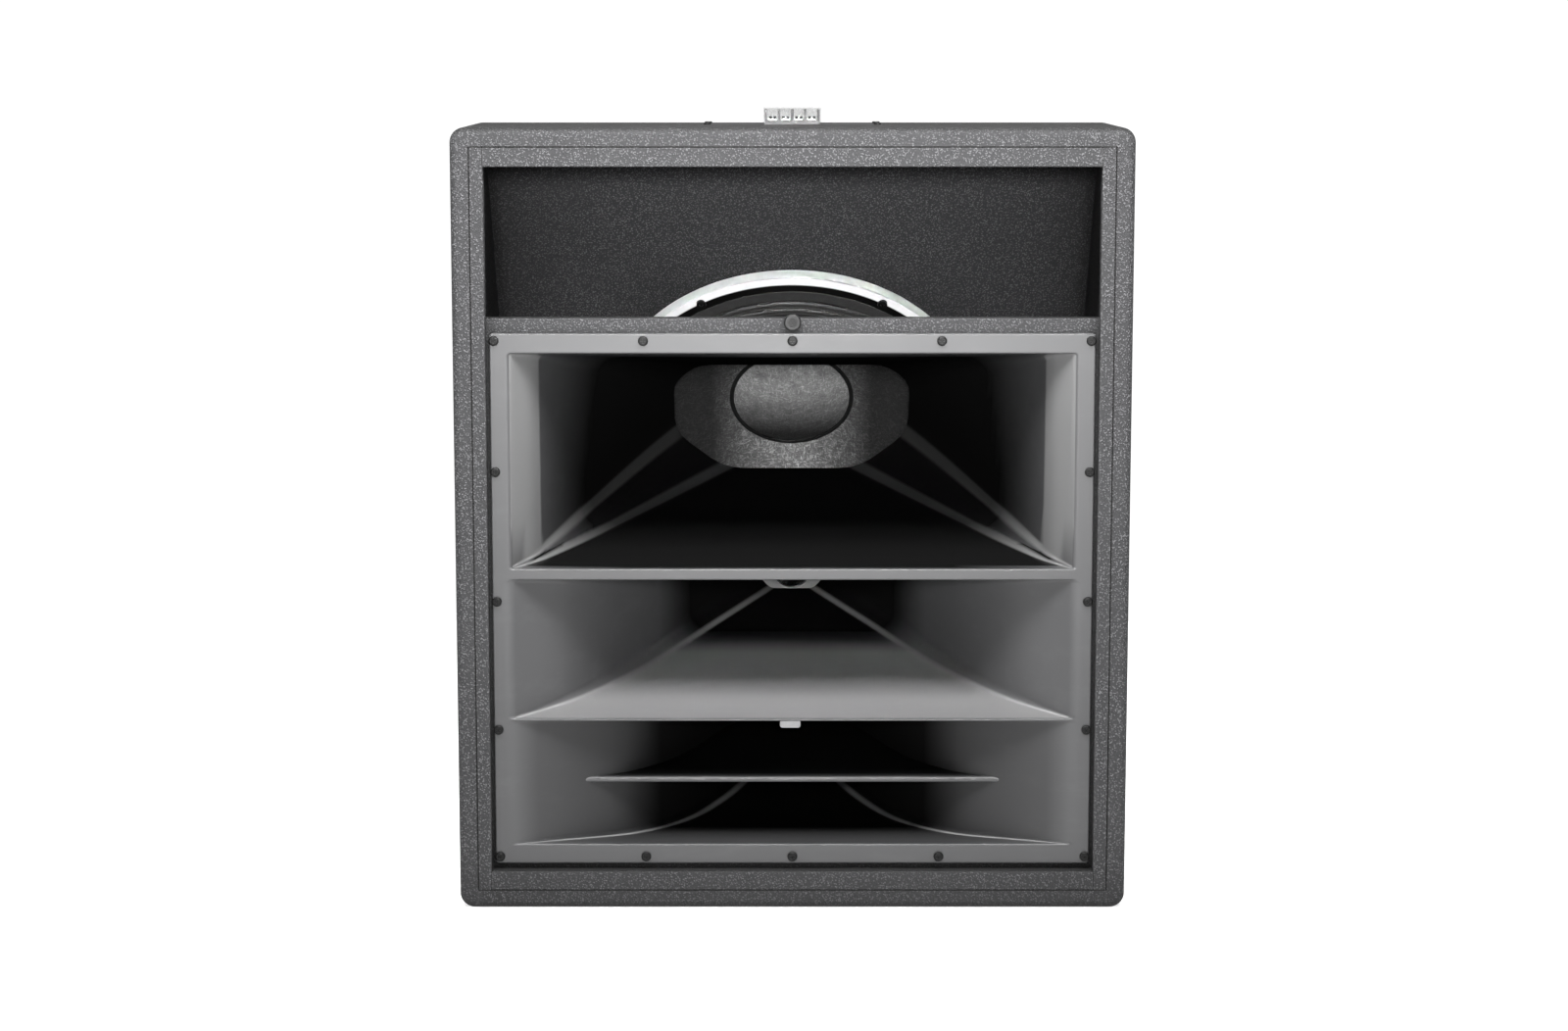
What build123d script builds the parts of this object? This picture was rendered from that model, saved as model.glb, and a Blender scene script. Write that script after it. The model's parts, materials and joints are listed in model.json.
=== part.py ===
from build123d import *
from math import atan2, cos, degrees, radians, sin, tan
import os

# A horn-loaded installation loudspeaker cabinet. All sizes are in millimetres.
# +X is the right-hand side seen from the front, +Y points to the back, +Z is up.
# The origin is at the middle of the cabinet's footprint, on the floor it stands on.

# ---- cabinet ----
WIDTH = 640.0
HEIGHT = 747.0
DEPTH = 620.0
PLY = 18.0  # plywood of every cabinet panel
EDGE_ROUND = 14.0  # rounding of the outer long edges
FRONT_ROUND = 7.0  # rounding of the front edges
FLAT_TOP = 196.0  # level part of the top, measured from the front
REAR_SLOPE = 12.0  # fall of the rear part of the top, degrees
CLEAT_WIDTH = 13.0  # side grille cleats, seen from the front
CLEAT_HEIGHT = 18.5  # top and bottom grille cleats, seen from the front
CLEAT_DEPTH = 15.0

# ---- woofer baffle ----
BAFFLE_LEAN = 36.0  # lean of the baffle from the vertical, facing forward and down
BAFFLE_START = 173.0  # depth of the baffle's face where it meets the top panel
WOOFER_DROP = 308.0  # from the cabinet's top down to the woofer's centre on the baffle's face

# ---- horn board and mouldings ----
BOARD_DROP = 179.0  # from the cabinet's top down to the board's top edge
HORN_WALL = 5.0
CUT_CLEARANCE = 1.0  # between the horn shells and the hole in the board
FLANGE = 5.0  # thickness of the horn's front flange
FLANGE_GAP = 3.3  # clearance between the flange and the side cleats
FLANGE_SIDE = 17.7  # flange beside the mouths
FLANGE_END = 19.0  # flange above and below the mouths
FLANGE_CORNER = 3.0
FLANGE_TOP_DROP = 193.0  # from the cabinet's top down to the flange's top edge
LOW_MOUTH = 205.5  # heights of the mouths, from the top one down
MID_MOUTH = 134.8
HIGH_MOUTH = 120.9
DIVIDER = 10.8  # bar between the top and the middle mouth
LIP = 2.0  # thin edge between the middle and the bottom mouth
LOW_THROAT_HALF = 123.0
LOW_THROAT_HEIGHT = 147.5
LOW_THROAT_RAISE = 14.0  # throat centre above the woofer's axis, along the baffle
LOW_THROAT_STANDOFF = 26.0  # throat plane, in front of the baffle's face
MID_THROAT_HALF = 32.0
MID_THROAT_HEIGHT = 45.0
MID_THROAT_DEPTH = 300.0
MID_THROAT_RISE = 78.0  # from the mouth's lower edge up to the throat's
HIGH_THROAT_HALF = 25.0
HIGH_THROAT_HEIGHT = 40.0
HIGH_THROAT_DEPTH = 262.0
HIGH_THROAT_RISE = 34.0
VANE_THICKNESS = 5.2
VANE_DEPTH = 31.0  # front edge of the vane, behind the cabinet's front
VANE_END = 200.0  # rear edge of the vane, behind the cabinet's front
VANE_DROP = 59.9  # from the bottom mouth's top edge down to the vane
VANE_TILT = 7.6  # rise towards the back, degrees
VANE_NOSE = 2.2  # rounding of its front edge
SCREW_HEAD_R = 4.75
SCREW_HEAD = 2.6
SCREW_SHANK_R = 2.0
SCREW_LENGTH = 19.0
SCREW_PLAY = 0.3
SCREW_INSET = 4.1  # from the flange's side edge
SCREW_INSET_END = 6.9  # from the flange's top and bottom edge
BUMPER_R = 8.0
BUMPER_THICKNESS = 6.0
BUMPER_SEAT = 3.0  # floor of its recess, in front of the board
BUMPER_RECESS_R = 4.4
BUMPER_SCREW_R = 3.9
BUMPER_SCREW_HEAD = 1.8
BUMPER_DROP = 3.7  # bumper's centre below the board's top edge

# ---- woofer, radii about its axis and places along it from the baffle's face ----
FRAME_R = 194.0
FRAME_FLANGE = 12.0
FRAME_BORE_R = 165.0
CUTOUT_R = 181.0
GASKET_IN_R = 166.0
GASKET_OUT_R = 178.5
GASKET = 4.0
SURROUND_OUT_R = 176.5
CONE_R = 146.3
CONE_LIP = 6.0  # flat rim of the cone under the surround
SURROUND = 1.0
CONE_WALL = 1.4
CAP_R = 63.0
CONE_NECK_DROP = 36.0  # from the cone's edge back to its neck
COIL_R = 51.0
FORMER_WALL = 0.5
GAP = 1.2  # clearance either side of the voice coil
WOOFER_BOLT_R = 185.5
WOOFER_BOLTS = 6
WOOFER_BOLT_SHANK_R = 2.5
WOOFER_BOLT_LENGTH = 30.0
BOLT_PLAY = 0.3
BOLT_HEAD_R = 4.8
BOLT_HEAD = 4.2
BOLT_SEAT = FRAME_FLANGE  # the bolt heads sit in pockets of the rim
HEX_SOCKET_R = 2.3
HEX_SOCKET = 2.4
MAGNET_R = 90.0
TOP_PLATE = 10.0
MAGNET = 26.0
BACK_PLATE = 12.0
MOTOR_FRONT = -96.0

# ---- compression drivers ----
MID_DRIVER_R = 60.0
HIGH_DRIVER_R = 48.0
DRIVER_PLATE = 10.0
DRIVER_MAGNET = 30.0
DRIVER_CAP = 28.0
DOME_WALL = 0.6
DRIVER_BOLT_R = 2.2
DRIVER_BOLT_INSET = 6.0  # bolt centres inside the driver's edge
DRIVER_BOLT_BITE = 10.0  # length of bolt inside the rear cap
DRIVER_BOLT_PLAY = 0.4
DRIVER_BOLT_HEAD = 3.0
DRIVER_BOLTS = 4
DOME_GAP = 1.2  # between the phase plug and the dome
DOME_RISE = 12.0
CAP_SHELL = 4.0  # rear wall of the driver's cap
CAP_RIM = 12.0  # width of the cap's rim
CAP_ROUND = 8.0

# ---- input plate and terminals ----
PLATE_WIDTH = 176.0
PLATE_LENGTH = 64.0
PLATE = 3.0
PLATE_CORNER = 6.0
PLATE_PLAY = 0.5  # round the plate in its recess
PLATE_MARGIN_X = 18.0  # ledge under the plate's ends
PLATE_MARGIN_Y = 13.0
PLATE_SCREW_INSET = 6.0
PLATE_SCREW_R = 3.6
PLATE_SCREW_HEAD = 1.8
PLATE_SCREW_SHANK_R = 1.9
PLATE_START = 105.0  # front edge of the plate, behind the cabinet's front
POLES = 4
PITCH = 12.7
RIB = 2.6
RIB_HEIGHT = 14.0
TERMINAL_SCREW_R = 3.6

# ---- crossover, lining, rigging ----
CROSSOVER_RISE = 56.0  # from the baffle's foot up to the board's lower edge
CROSSOVER_WIDTH = 220.0
CROSSOVER_HEIGHT = 150.0
CROSSOVER_BOARD = 2.0
SPACER = 10.0
RIGGING_R = 5.0  # M10
RIGGING_SPACING = 360.0
INSERT_WALL = 2.0
INSERT_DEPTH = 1.0  # the insert ends this far below the side's outer face
INSERT_FLANGE = 2.0
INSERT_FLANGE_R = 16.0
LINING = 20.0
LINING_START = 60.0  # from the bend in the top to the lining
LINING_LENGTH = 320.0
LINING_MARGIN = 30.0  # from the side panels

FRONT = -DEPTH / 2
HALF = WIDTH / 2
INNER = HALF - PLY
BOARD_FACE = FRONT + CLEAT_DEPTH
BOARD_BACK = BOARD_FACE + PLY
os.makedirs("parts", exist_ok=True)


def save(piece, name):
    piece.part.label = name
    export_step(piece.part, f"parts/{name}.step")


def side_plane(x):
    """A plane across the cabinet at x, drawn with Y to the right and Z up."""
    return Plane(origin=(x, 0, 0), x_dir=(0, 1, 0), z_dir=(1, 0, 0))


def front_plane(y):
    """An upright plane at depth y, drawn with X to the right and Z up, normal to the front."""
    return Plane(origin=(0, y, 0), x_dir=(1, 0, 0), z_dir=(0, -1, 0))


# ================= cabinet panels =================
KINK = FRONT + FLAT_TOP
REAR_TOP = HEIGHT - (DEPTH - FLAT_TOP) * tan(radians(REAR_SLOPE))
SLOPED_PLY = PLY / cos(radians(REAR_SLOPE))  # panel thickness measured straight down
MITRE = PLY * tan(radians(REAR_SLOPE / 2))
BACK_INNER = FRONT + DEPTH - PLY
back_top = REAR_TOP - SLOPED_PLY + PLY * tan(radians(REAR_SLOPE))

lean = radians(BAFFLE_LEAN)
face_dir = Vector(0, -cos(lean), -sin(lean))  # the way the woofer faces
up_dir = Vector(0, -sin(lean), cos(lean))  # up along the baffle
baffle_top = Vector(0, FRONT + BAFFLE_START, HEIGHT - PLY)
woofer_height = HEIGHT - WOOFER_DROP
woofer_y = baffle_top.Y + (baffle_top.Z - woofer_height) * tan(lean)
woofer_centre = Vector(0, woofer_y, woofer_height)
WOOFER_AXIS = Axis(woofer_centre, face_dir)
WOOFER_FACE = Plane(origin=woofer_centre, x_dir=(1, 0, 0), z_dir=face_dir)
WOOFER_SECTION = Plane(origin=woofer_centre, x_dir=(1, 0, 0), z_dir=up_dir * -1)

side_profile = (
    (FRONT, 0),
    (FRONT + DEPTH, 0),
    (FRONT + DEPTH, REAR_TOP),
    (KINK, HEIGHT),
    (FRONT, HEIGHT),
)

for side, name in ((-1, "left_side"), (1, "right_side")):
    with BuildPart() as panel:
        with BuildSketch(side_plane(side * (HALF - PLY / 2))):
            Polygon(*side_profile, align=None)
        extrude(amount=PLY / 2, both=True)
        outer = panel.faces().sort_by(Axis.X)[0 if side < 0 else -1]
        front_edges = outer.edges().filter_by(Axis.Z).sort_by(Axis.Y)[0:1]
        long_edges = outer.edges() - front_edges
        fillet(long_edges, radius=EDGE_ROUND)
        front_face = panel.faces().sort_by(Axis.Y)[0]
        outer_edge = front_face.edges().filter_by(Axis.Z).sort_by(Axis.X)[0 if side < 0 else -1]
        fillet(outer_edge, radius=FRONT_ROUND)
        with BuildSketch(side_plane(side * INNER)):
            for y in (-RIGGING_SPACING / 2, RIGGING_SPACING / 2):
                with Locations((y, HEIGHT / 2)):
                    Circle(RIGGING_R + INSERT_WALL)
        extrude(amount=side * PLY, mode=Mode.SUBTRACT)
    save(panel, name)

with BuildPart() as top_panel:
    with BuildSketch(side_plane(0)):
        Polygon(
            (FRONT, HEIGHT - PLY),
            (KINK - MITRE, HEIGHT - PLY),
            (KINK, HEIGHT),
            (FRONT, HEIGHT),
            align=None,
        )
    extrude(amount=INNER, both=True)
    front_top = top_panel.edges().filter_by(Axis.X).group_by(Axis.Y)[0].sort_by(Axis.Z)[-1]
    fillet(front_top, radius=FRONT_ROUND)
    plate_middle = FRONT + PLATE_START + PLATE_LENGTH / 2
    with BuildSketch(Plane.XY.offset(HEIGHT - PLATE)):
        with Locations((0, plate_middle)):
            RectangleRounded(
                PLATE_WIDTH + 2 * PLATE_PLAY, PLATE_LENGTH + 2 * PLATE_PLAY, PLATE_CORNER + PLATE_PLAY
            )
    extrude(amount=PLATE, mode=Mode.SUBTRACT)
    with BuildSketch(Plane.XY.offset(HEIGHT - PLY)):
        with Locations((0, plate_middle)):
            Rectangle(PLATE_WIDTH - 2 * PLATE_MARGIN_X, PLATE_LENGTH - 2 * PLATE_MARGIN_Y)
    extrude(amount=PLY, mode=Mode.SUBTRACT)
save(top_panel, "top_panel")

with BuildPart() as rear_top_panel:
    with BuildSketch(side_plane(0)):
        Polygon(
            (KINK - MITRE, HEIGHT - PLY),
            (FRONT + DEPTH, REAR_TOP - SLOPED_PLY),
            (FRONT + DEPTH, REAR_TOP),
            (KINK, HEIGHT),
            align=None,
        )
    extrude(amount=INNER, both=True)
    fillet(rear_top_panel.edges().filter_by(Axis.X).group_by(Axis.Y)[-1].sort_by(Axis.Z)[-1],
           radius=EDGE_ROUND)
save(rear_top_panel, "rear_top_panel")

with BuildPart() as bottom_panel:
    with BuildSketch(side_plane(0)):
        with Locations((0, PLY / 2)):
            Rectangle(DEPTH, PLY)
    extrude(amount=INNER, both=True)
    low_edges = bottom_panel.edges().filter_by(Axis.X).group_by(Axis.Z)[0].sort_by(Axis.Y)
    fillet(low_edges[0], radius=FRONT_ROUND)
    fillet(low_edges[-1], radius=EDGE_ROUND)
save(bottom_panel, "bottom_panel")

with BuildPart() as back_panel:
    with BuildSketch(side_plane(0)):
        Polygon(
            (BACK_INNER, PLY),
            (FRONT + DEPTH, PLY),
            (FRONT + DEPTH, REAR_TOP - SLOPED_PLY),
            (BACK_INNER, back_top),
            align=None,
        )
    extrude(amount=INNER, both=True)
save(back_panel, "back_panel")

# The baffle leans from the top panel down to the back panel, inside the cabinet's cavity.
BAFFLE_RUN = PLY / cos(lean)  # the baffle's thickness measured along Y
cavity = (
    (FRONT, PLY),
    (BACK_INNER, PLY),
    (BACK_INNER, back_top),
    (KINK - MITRE, HEIGHT - PLY),
    (FRONT, HEIGHT - PLY),
)
low_reach = HEIGHT * tan(lean)
with BuildPart() as woofer_baffle:
    with BuildSketch(side_plane(0)):
        Polygon(*cavity, align=None)
        Polygon(
            (baffle_top.Y - PLY * tan(lean), HEIGHT),
            (baffle_top.Y - PLY * tan(lean) + BAFFLE_RUN, HEIGHT),
            (baffle_top.Y - PLY * tan(lean) + BAFFLE_RUN + low_reach, 0),
            (baffle_top.Y - PLY * tan(lean) + low_reach, 0),
            align=None,
            mode=Mode.INTERSECT,
        )
    extrude(amount=INNER, both=True)
    with BuildSketch(WOOFER_FACE):
        Circle(CUTOUT_R)
    extrude(amount=-3 * PLY, mode=Mode.SUBTRACT)
    with BuildSketch(WOOFER_FACE):
        with PolarLocations(WOOFER_BOLT_R, WOOFER_BOLTS):
            Circle(WOOFER_BOLT_SHANK_R)
    extrude(amount=-PLY, mode=Mode.SUBTRACT)
save(woofer_baffle, "woofer_baffle")

# ================= grille cleats =================
INSIDE_TOP = HEIGHT - PLY
for side, name in ((-1, "left_cleat"), (1, "right_cleat")):
    with BuildPart() as cleat:
        with BuildSketch(front_plane(BOARD_FACE)):
            with Locations((side * (INNER - CLEAT_WIDTH / 2), (PLY + INSIDE_TOP) / 2)):
                Rectangle(CLEAT_WIDTH, INSIDE_TOP - PLY)
        extrude(amount=CLEAT_DEPTH)
        chamfer(cleat.faces().sort_by(Axis.Y)[0].edges().filter_by(Axis.Z), length=0.8)
    save(cleat, name)

for z, name in ((INSIDE_TOP - CLEAT_HEIGHT / 2, "top_cleat"), (PLY + CLEAT_HEIGHT / 2, "bottom_cleat")):
    with BuildPart() as cleat:
        with BuildSketch(front_plane(BOARD_FACE)):
            with Locations((0, z)):
                Rectangle(2 * (INNER - CLEAT_WIDTH), CLEAT_HEIGHT)
        extrude(amount=CLEAT_DEPTH)
        chamfer(cleat.faces().sort_by(Axis.Y)[0].edges().filter_by(Axis.X), length=0.8)
    save(cleat, name)

# ================= horn board =================
FLANGE_TOP = HEIGHT - FLANGE_TOP_DROP
LOW_TOP = FLANGE_TOP - FLANGE_END
LOW_BOTTOM = LOW_TOP - LOW_MOUTH
MID_TOP = LOW_BOTTOM - DIVIDER
MID_BOTTOM = MID_TOP - MID_MOUTH
HIGH_TOP = MID_BOTTOM - LIP
HIGH_BOTTOM = HIGH_TOP - HIGH_MOUTH
FLANGE_BOTTOM = HIGH_BOTTOM - FLANGE_END
FLANGE_HALF = INNER - CLEAT_WIDTH - FLANGE_GAP
MOUTH_HALF = FLANGE_HALF - FLANGE_SIDE  # half the width of every horn mouth
FLANGE_FACE = BOARD_FACE - FLANGE
screw_x = FLANGE_HALF - SCREW_INSET
screw_top = FLANGE_TOP - SCREW_INSET_END
screw_bottom = FLANGE_BOTTOM + SCREW_INSET_END
screw_rise = (screw_top - screw_bottom) / 4
screw_spots = [(screw_x * i / 2, z) for i in range(-2, 3) for z in (screw_top, screw_bottom)]
screw_spots += [(x, screw_top - screw_rise * i) for i in (1, 2, 3) for x in (-screw_x, screw_x)]
BUMPER_Z = HEIGHT - BOARD_DROP - BUMPER_DROP

with BuildPart() as horn_board:
    board_top = HEIGHT - BOARD_DROP
    with BuildSketch(front_plane(BOARD_BACK)):
        with Locations((0, (board_top + PLY) / 2)):
            Rectangle(2 * INNER, board_top - PLY)
        cut_top = LOW_TOP + HORN_WALL + CUT_CLEARANCE
        cut_bottom = HIGH_BOTTOM - HORN_WALL - CUT_CLEARANCE
        with Locations((0, (cut_top + cut_bottom) / 2)):
            cut_half = MOUTH_HALF + HORN_WALL + CUT_CLEARANCE
            Rectangle(2 * cut_half, cut_top - cut_bottom, mode=Mode.SUBTRACT)
    extrude(amount=PLY)
    with BuildSketch(front_plane(BOARD_FACE)):
        with Locations(*screw_spots):
            Circle(SCREW_SHANK_R)
        with Locations((0, BUMPER_Z)):
            Circle(SCREW_SHANK_R)
    extrude(amount=-PLY, mode=Mode.SUBTRACT)
save(horn_board, "horn_board")

# ================= horns =================
CUT_GROWTH = 2 - 2 ** 0.5  # how much longer a cut corner's leg is on the outside of a unit wall


def horn_outline(half, top, bottom, cut, low_cut):
    """The corner points of a horn passage: a rectangle with its four corners cut off."""
    return (
        (-half + cut, top),
        (half - cut, top),
        (half, top - cut),
        (half, bottom + low_cut),
        (half - low_cut, bottom),
        (-half + low_cut, bottom),
        (-half, bottom + low_cut),
        (-half, top - cut),
    )


def passage(stations, grow=0.0):
    """The eight-sided sections of a horn, front to back, each grown by a wall thickness."""
    faces = []
    for depth, half, top, bottom, corner in stations:
        with BuildSketch(front_plane(FRONT + depth)) as section:
            cut = corner + grow * CUT_GROWTH
            Polygon(*horn_outline(half + grow, top + grow, bottom - grow, cut, cut), align=None)
        faces.append(section.sketch)
    return faces


# The top horn ends at a throat that lies parallel to the woofer's baffle.
throat_centre = woofer_centre + face_dir * LOW_THROAT_STANDOFF + up_dir * LOW_THROAT_RAISE
MOUTH = CLEAT_DEPTH - FLANGE  # depth of the flange's face
SLEEVE = CLEAT_DEPTH  # depth where the horn shells leave the flange


def low_section(share, grow, corner, low_corner):
    """A section of the top horn, from the mouth, 0, to the tilted throat, 1."""
    half = MOUTH_HALF + (LOW_THROAT_HALF - MOUTH_HALF) * share + grow
    tilt = lean * share
    mouth_mid = (LOW_TOP + LOW_BOTTOM) / 2
    start = Vector(0, FRONT + MOUTH, mouth_mid)
    centre = start + (throat_centre - start) * share
    normal = Vector(0, -cos(tilt), -sin(tilt))
    high = (LOW_MOUTH + (LOW_THROAT_HEIGHT - LOW_MOUTH) * share) / 2 + grow
    cut = corner + grow * CUT_GROWTH
    low_cut = low_corner + grow * CUT_GROWTH
    with BuildSketch(Plane(origin=centre, x_dir=(1, 0, 0), z_dir=normal)) as section:
        Polygon(*horn_outline(half, high, -high, cut, low_cut), align=None)
    return section.sketch


# share of the way to the throat, and the corner cuts above and below
LOW_STATIONS = ((0.0, 1.5, 1.5), (0.25, 8.0, 14.0), (0.55, 15.0, 29.0), (1.0, 25.0, 52.0))
with BuildPart() as low_horn:
    loft([low_section(share, HORN_WALL, *cuts) for share, *cuts in LOW_STATIONS], ruled=True)
    loft([low_section(share, 0, *cuts) for share, *cuts in LOW_STATIONS], ruled=True,
         mode=Mode.SUBTRACT)
    # the part inside the flange belongs to the front moulding
    with Locations((0, FRONT, HEIGHT / 2)):
        Box(WIDTH, 2 * SLEEVE, HEIGHT, mode=Mode.SUBTRACT)
save(low_horn, "top_horn")

mid_floor = MID_BOTTOM + MID_THROAT_RISE
high_floor = HIGH_BOTTOM + HIGH_THROAT_RISE
# depth behind the front, half width, top, bottom, corner cut
MID_STATIONS = (
    (MOUTH, MOUTH_HALF, MID_TOP, MID_BOTTOM, 1.5),
    (50.0, 214.0, MID_TOP - 1.7, MID_BOTTOM + 10.8, 6.0),
    (122.0, 152.0, MID_TOP - 4.6, MID_BOTTOM + 30.1, 10.0),
    (218.0, 91.0, MID_TOP - 8.5, MID_BOTTOM + 56.0, 14.0),
    (MID_THROAT_DEPTH, MID_THROAT_HALF, mid_floor + MID_THROAT_HEIGHT, mid_floor, 10.0),
)
HIGH_STATIONS = (
    (MOUTH, MOUTH_HALF, HIGH_TOP, HIGH_BOTTOM, 1.5),
    (24.0, 222.0, HIGH_TOP - 1.0, HIGH_BOTTOM + 0.5, 3.0),
    (46.0, 160.0, HIGH_TOP - 4.0, HIGH_BOTTOM + 1.0, 4.0),
    (90.0, 112.0, HIGH_TOP - 14.0, HIGH_BOTTOM + 3.0, 6.0),
    (150.0, 79.0, HIGH_TOP - 28.0, HIGH_BOTTOM + 9.0, 8.0),
    (HIGH_THROAT_DEPTH, HIGH_THROAT_HALF, high_floor + HIGH_THROAT_HEIGHT, high_floor, 8.0),
)
vane_top = HIGH_TOP - VANE_DROP
vane_rise = (VANE_END - VANE_DEPTH) * tan(radians(VANE_TILT))
with BuildPart() as horn_flange:
    with BuildSketch(front_plane(BOARD_FACE)):
        with Locations((0, (FLANGE_TOP + FLANGE_BOTTOM) / 2)):
            RectangleRounded(2 * FLANGE_HALF, FLANGE_TOP - FLANGE_BOTTOM, FLANGE_CORNER)
    extrude(amount=FLANGE)
    loft(passage(MID_STATIONS), ruled=True, mode=Mode.SUBTRACT)
    loft(passage(HIGH_STATIONS), ruled=True, mode=Mode.SUBTRACT)
    loft([low_section(share, 0, *cuts) for share, *cuts in LOW_STATIONS[:2]], ruled=True,
         mode=Mode.SUBTRACT)
    with BuildSketch(front_plane(FLANGE_FACE)):
        with Locations(*screw_spots):
            Circle(SCREW_SHANK_R + SCREW_PLAY)
    extrude(amount=-2 * FLANGE, mode=Mode.SUBTRACT)
save(horn_flange, "horn_flange")

# The middle and the bottom horn's shells start behind the flange, and share the wall at the lip.
for stations, other, other_wall, name in (
    (MID_STATIONS, HIGH_STATIONS, 0.0, "middle_horn"),
    (HIGH_STATIONS, MID_STATIONS, HORN_WALL, "bottom_horn"),
):
    with BuildPart() as shell:
        loft(passage(stations, HORN_WALL), ruled=True)
        loft(passage(stations), ruled=True, mode=Mode.SUBTRACT)
        with Locations((0, FRONT, HEIGHT / 2)):
            Box(WIDTH, 2 * SLEEVE, HEIGHT, mode=Mode.SUBTRACT)
        loft(passage(other, other_wall), ruled=True, mode=Mode.SUBTRACT)
    save(shell, name)

with BuildPart() as vane:
    with BuildSketch(side_plane(0)):
        Polygon(
            (FRONT + VANE_DEPTH, vane_top),
            (FRONT + VANE_DEPTH, vane_top - VANE_THICKNESS),
            (FRONT + VANE_END, vane_top - VANE_THICKNESS + vane_rise),
            (FRONT + VANE_END, vane_top + vane_rise),
            align=None,
        )
    extrude(amount=MOUTH_HALF, both=True)
    fillet(vane.edges().filter_by(Axis.X).group_by(Axis.Y)[0], radius=VANE_NOSE)
    loft(passage(HIGH_STATIONS), ruled=True, mode=Mode.INTERSECT)
save(vane, "horn_vane")

with BuildPart() as horn_screws:
    for x, z in screw_spots:
        with BuildSketch(front_plane(FLANGE_FACE)):
            with Locations((x, z)):
                Circle(SCREW_HEAD_R)
        extrude(amount=SCREW_HEAD)
        with BuildSketch(front_plane(FLANGE_FACE)):
            with Locations((x, z)):
                Circle(SCREW_SHANK_R)
        extrude(amount=-SCREW_LENGTH)
    fillet(horn_screws.faces().filter_by(Axis.Y).group_by(Axis.Y)[0].edges(), radius=1.6)
    with BuildSketch(front_plane(FLANGE_FACE - SCREW_HEAD)):
        with Locations(*screw_spots):
            Rectangle(4.6, 1.0)
            Rectangle(1.0, 4.6)
    extrude(amount=-1.3, mode=Mode.SUBTRACT)
save(horn_screws, "horn_screws")

with BuildPart() as bumper:
    with BuildSketch(front_plane(BOARD_FACE)):
        with Locations((0, BUMPER_Z)):
            Circle(BUMPER_R)
            Circle(SCREW_SHANK_R + SCREW_PLAY, mode=Mode.SUBTRACT)
    extrude(amount=BUMPER_THICKNESS)
    with BuildSketch(front_plane(BOARD_FACE - BUMPER_SEAT)):
        with Locations((0, BUMPER_Z)):
            Circle(BUMPER_RECESS_R)
    extrude(amount=BUMPER_THICKNESS, mode=Mode.SUBTRACT)
    fillet(bumper.faces().sort_by(Axis.Y)[0].edges().group_by(SortBy.LENGTH)[-1], radius=1.6)
save(bumper, "grille_bumper")

with BuildPart() as bumper_screw:
    with BuildSketch(front_plane(BOARD_FACE - BUMPER_SEAT)):
        with Locations((0, BUMPER_Z)):
            Circle(BUMPER_SCREW_R)
    extrude(amount=BUMPER_SCREW_HEAD)
    with BuildSketch(front_plane(BOARD_FACE - BUMPER_SEAT)):
        with Locations((0, BUMPER_Z)):
            Circle(SCREW_SHANK_R)
    extrude(amount=BUMPER_SEAT - SCREW_LENGTH)
    with BuildSketch(front_plane(BOARD_FACE - BUMPER_SEAT - BUMPER_SCREW_HEAD)):
        with Locations((0, BUMPER_Z)):
            Rectangle(4.0, 0.9)
            Rectangle(0.9, 4.0)
    extrude(amount=-1.2, mode=Mode.SUBTRACT)
save(bumper_screw, "bumper_screw")

LIP_PAD_WIDTH = 19.6
LIP_PAD_HEIGHT = 7.0
LIP_PAD_DEPTH = 3.0
LIP_PAD_X = -2.0
with BuildPart() as lip_pad:
    with BuildSketch(front_plane(FLANGE_FACE)):
        with Locations((LIP_PAD_X, HIGH_TOP - LIP_PAD_HEIGHT / 2 + 0.5)):
            RectangleRounded(LIP_PAD_WIDTH, LIP_PAD_HEIGHT, 2.4)
    extrude(amount=-LIP_PAD_DEPTH)
    loft(passage(HIGH_STATIONS), ruled=True, mode=Mode.INTERSECT)
save(lip_pad, "lip_pad")

# ================= woofer =================
CONE_EDGE = FRAME_FLANGE - SURROUND  # axial place of the cone's front edge
NECK = CONE_EDGE - CONE_NECK_DROP
cone_slope = CONE_NECK_DROP / (CONE_R - CONE_LIP - COIL_R - FORMER_WALL)
cap_edge = CONE_EDGE - cone_slope * (CONE_R - CONE_LIP - CAP_R)
SPIDER_PLACE = NECK - 22.0
BASKET_R = 108.0
BASKET_WALL = 5.0
WINDOW_R = 152.0
WINDOW_RISE = 46.0
WINDOW_WIDTH = 104.0
WINDOW_START = 14.0  # behind the baffle's face
WINDOW_FLOOR = 6.0  # the windows end this far in front of the spider
BASKET_FLOOR = 6.0
SPIDER_R = 102.0
SPIDER_WALL = 0.8
SPIDER_SEAT = 8.0  # ring of the basket that carries the spider's edge
SPIDER_SHELF = 3.2
BASKET_SHOULDER = 12.0  # depth of the straight part behind the baffle's face
MOTOR_HOLE_R = COIL_R + 9.0
spider_back = SPIDER_PLACE - SPIDER_WALL

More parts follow.
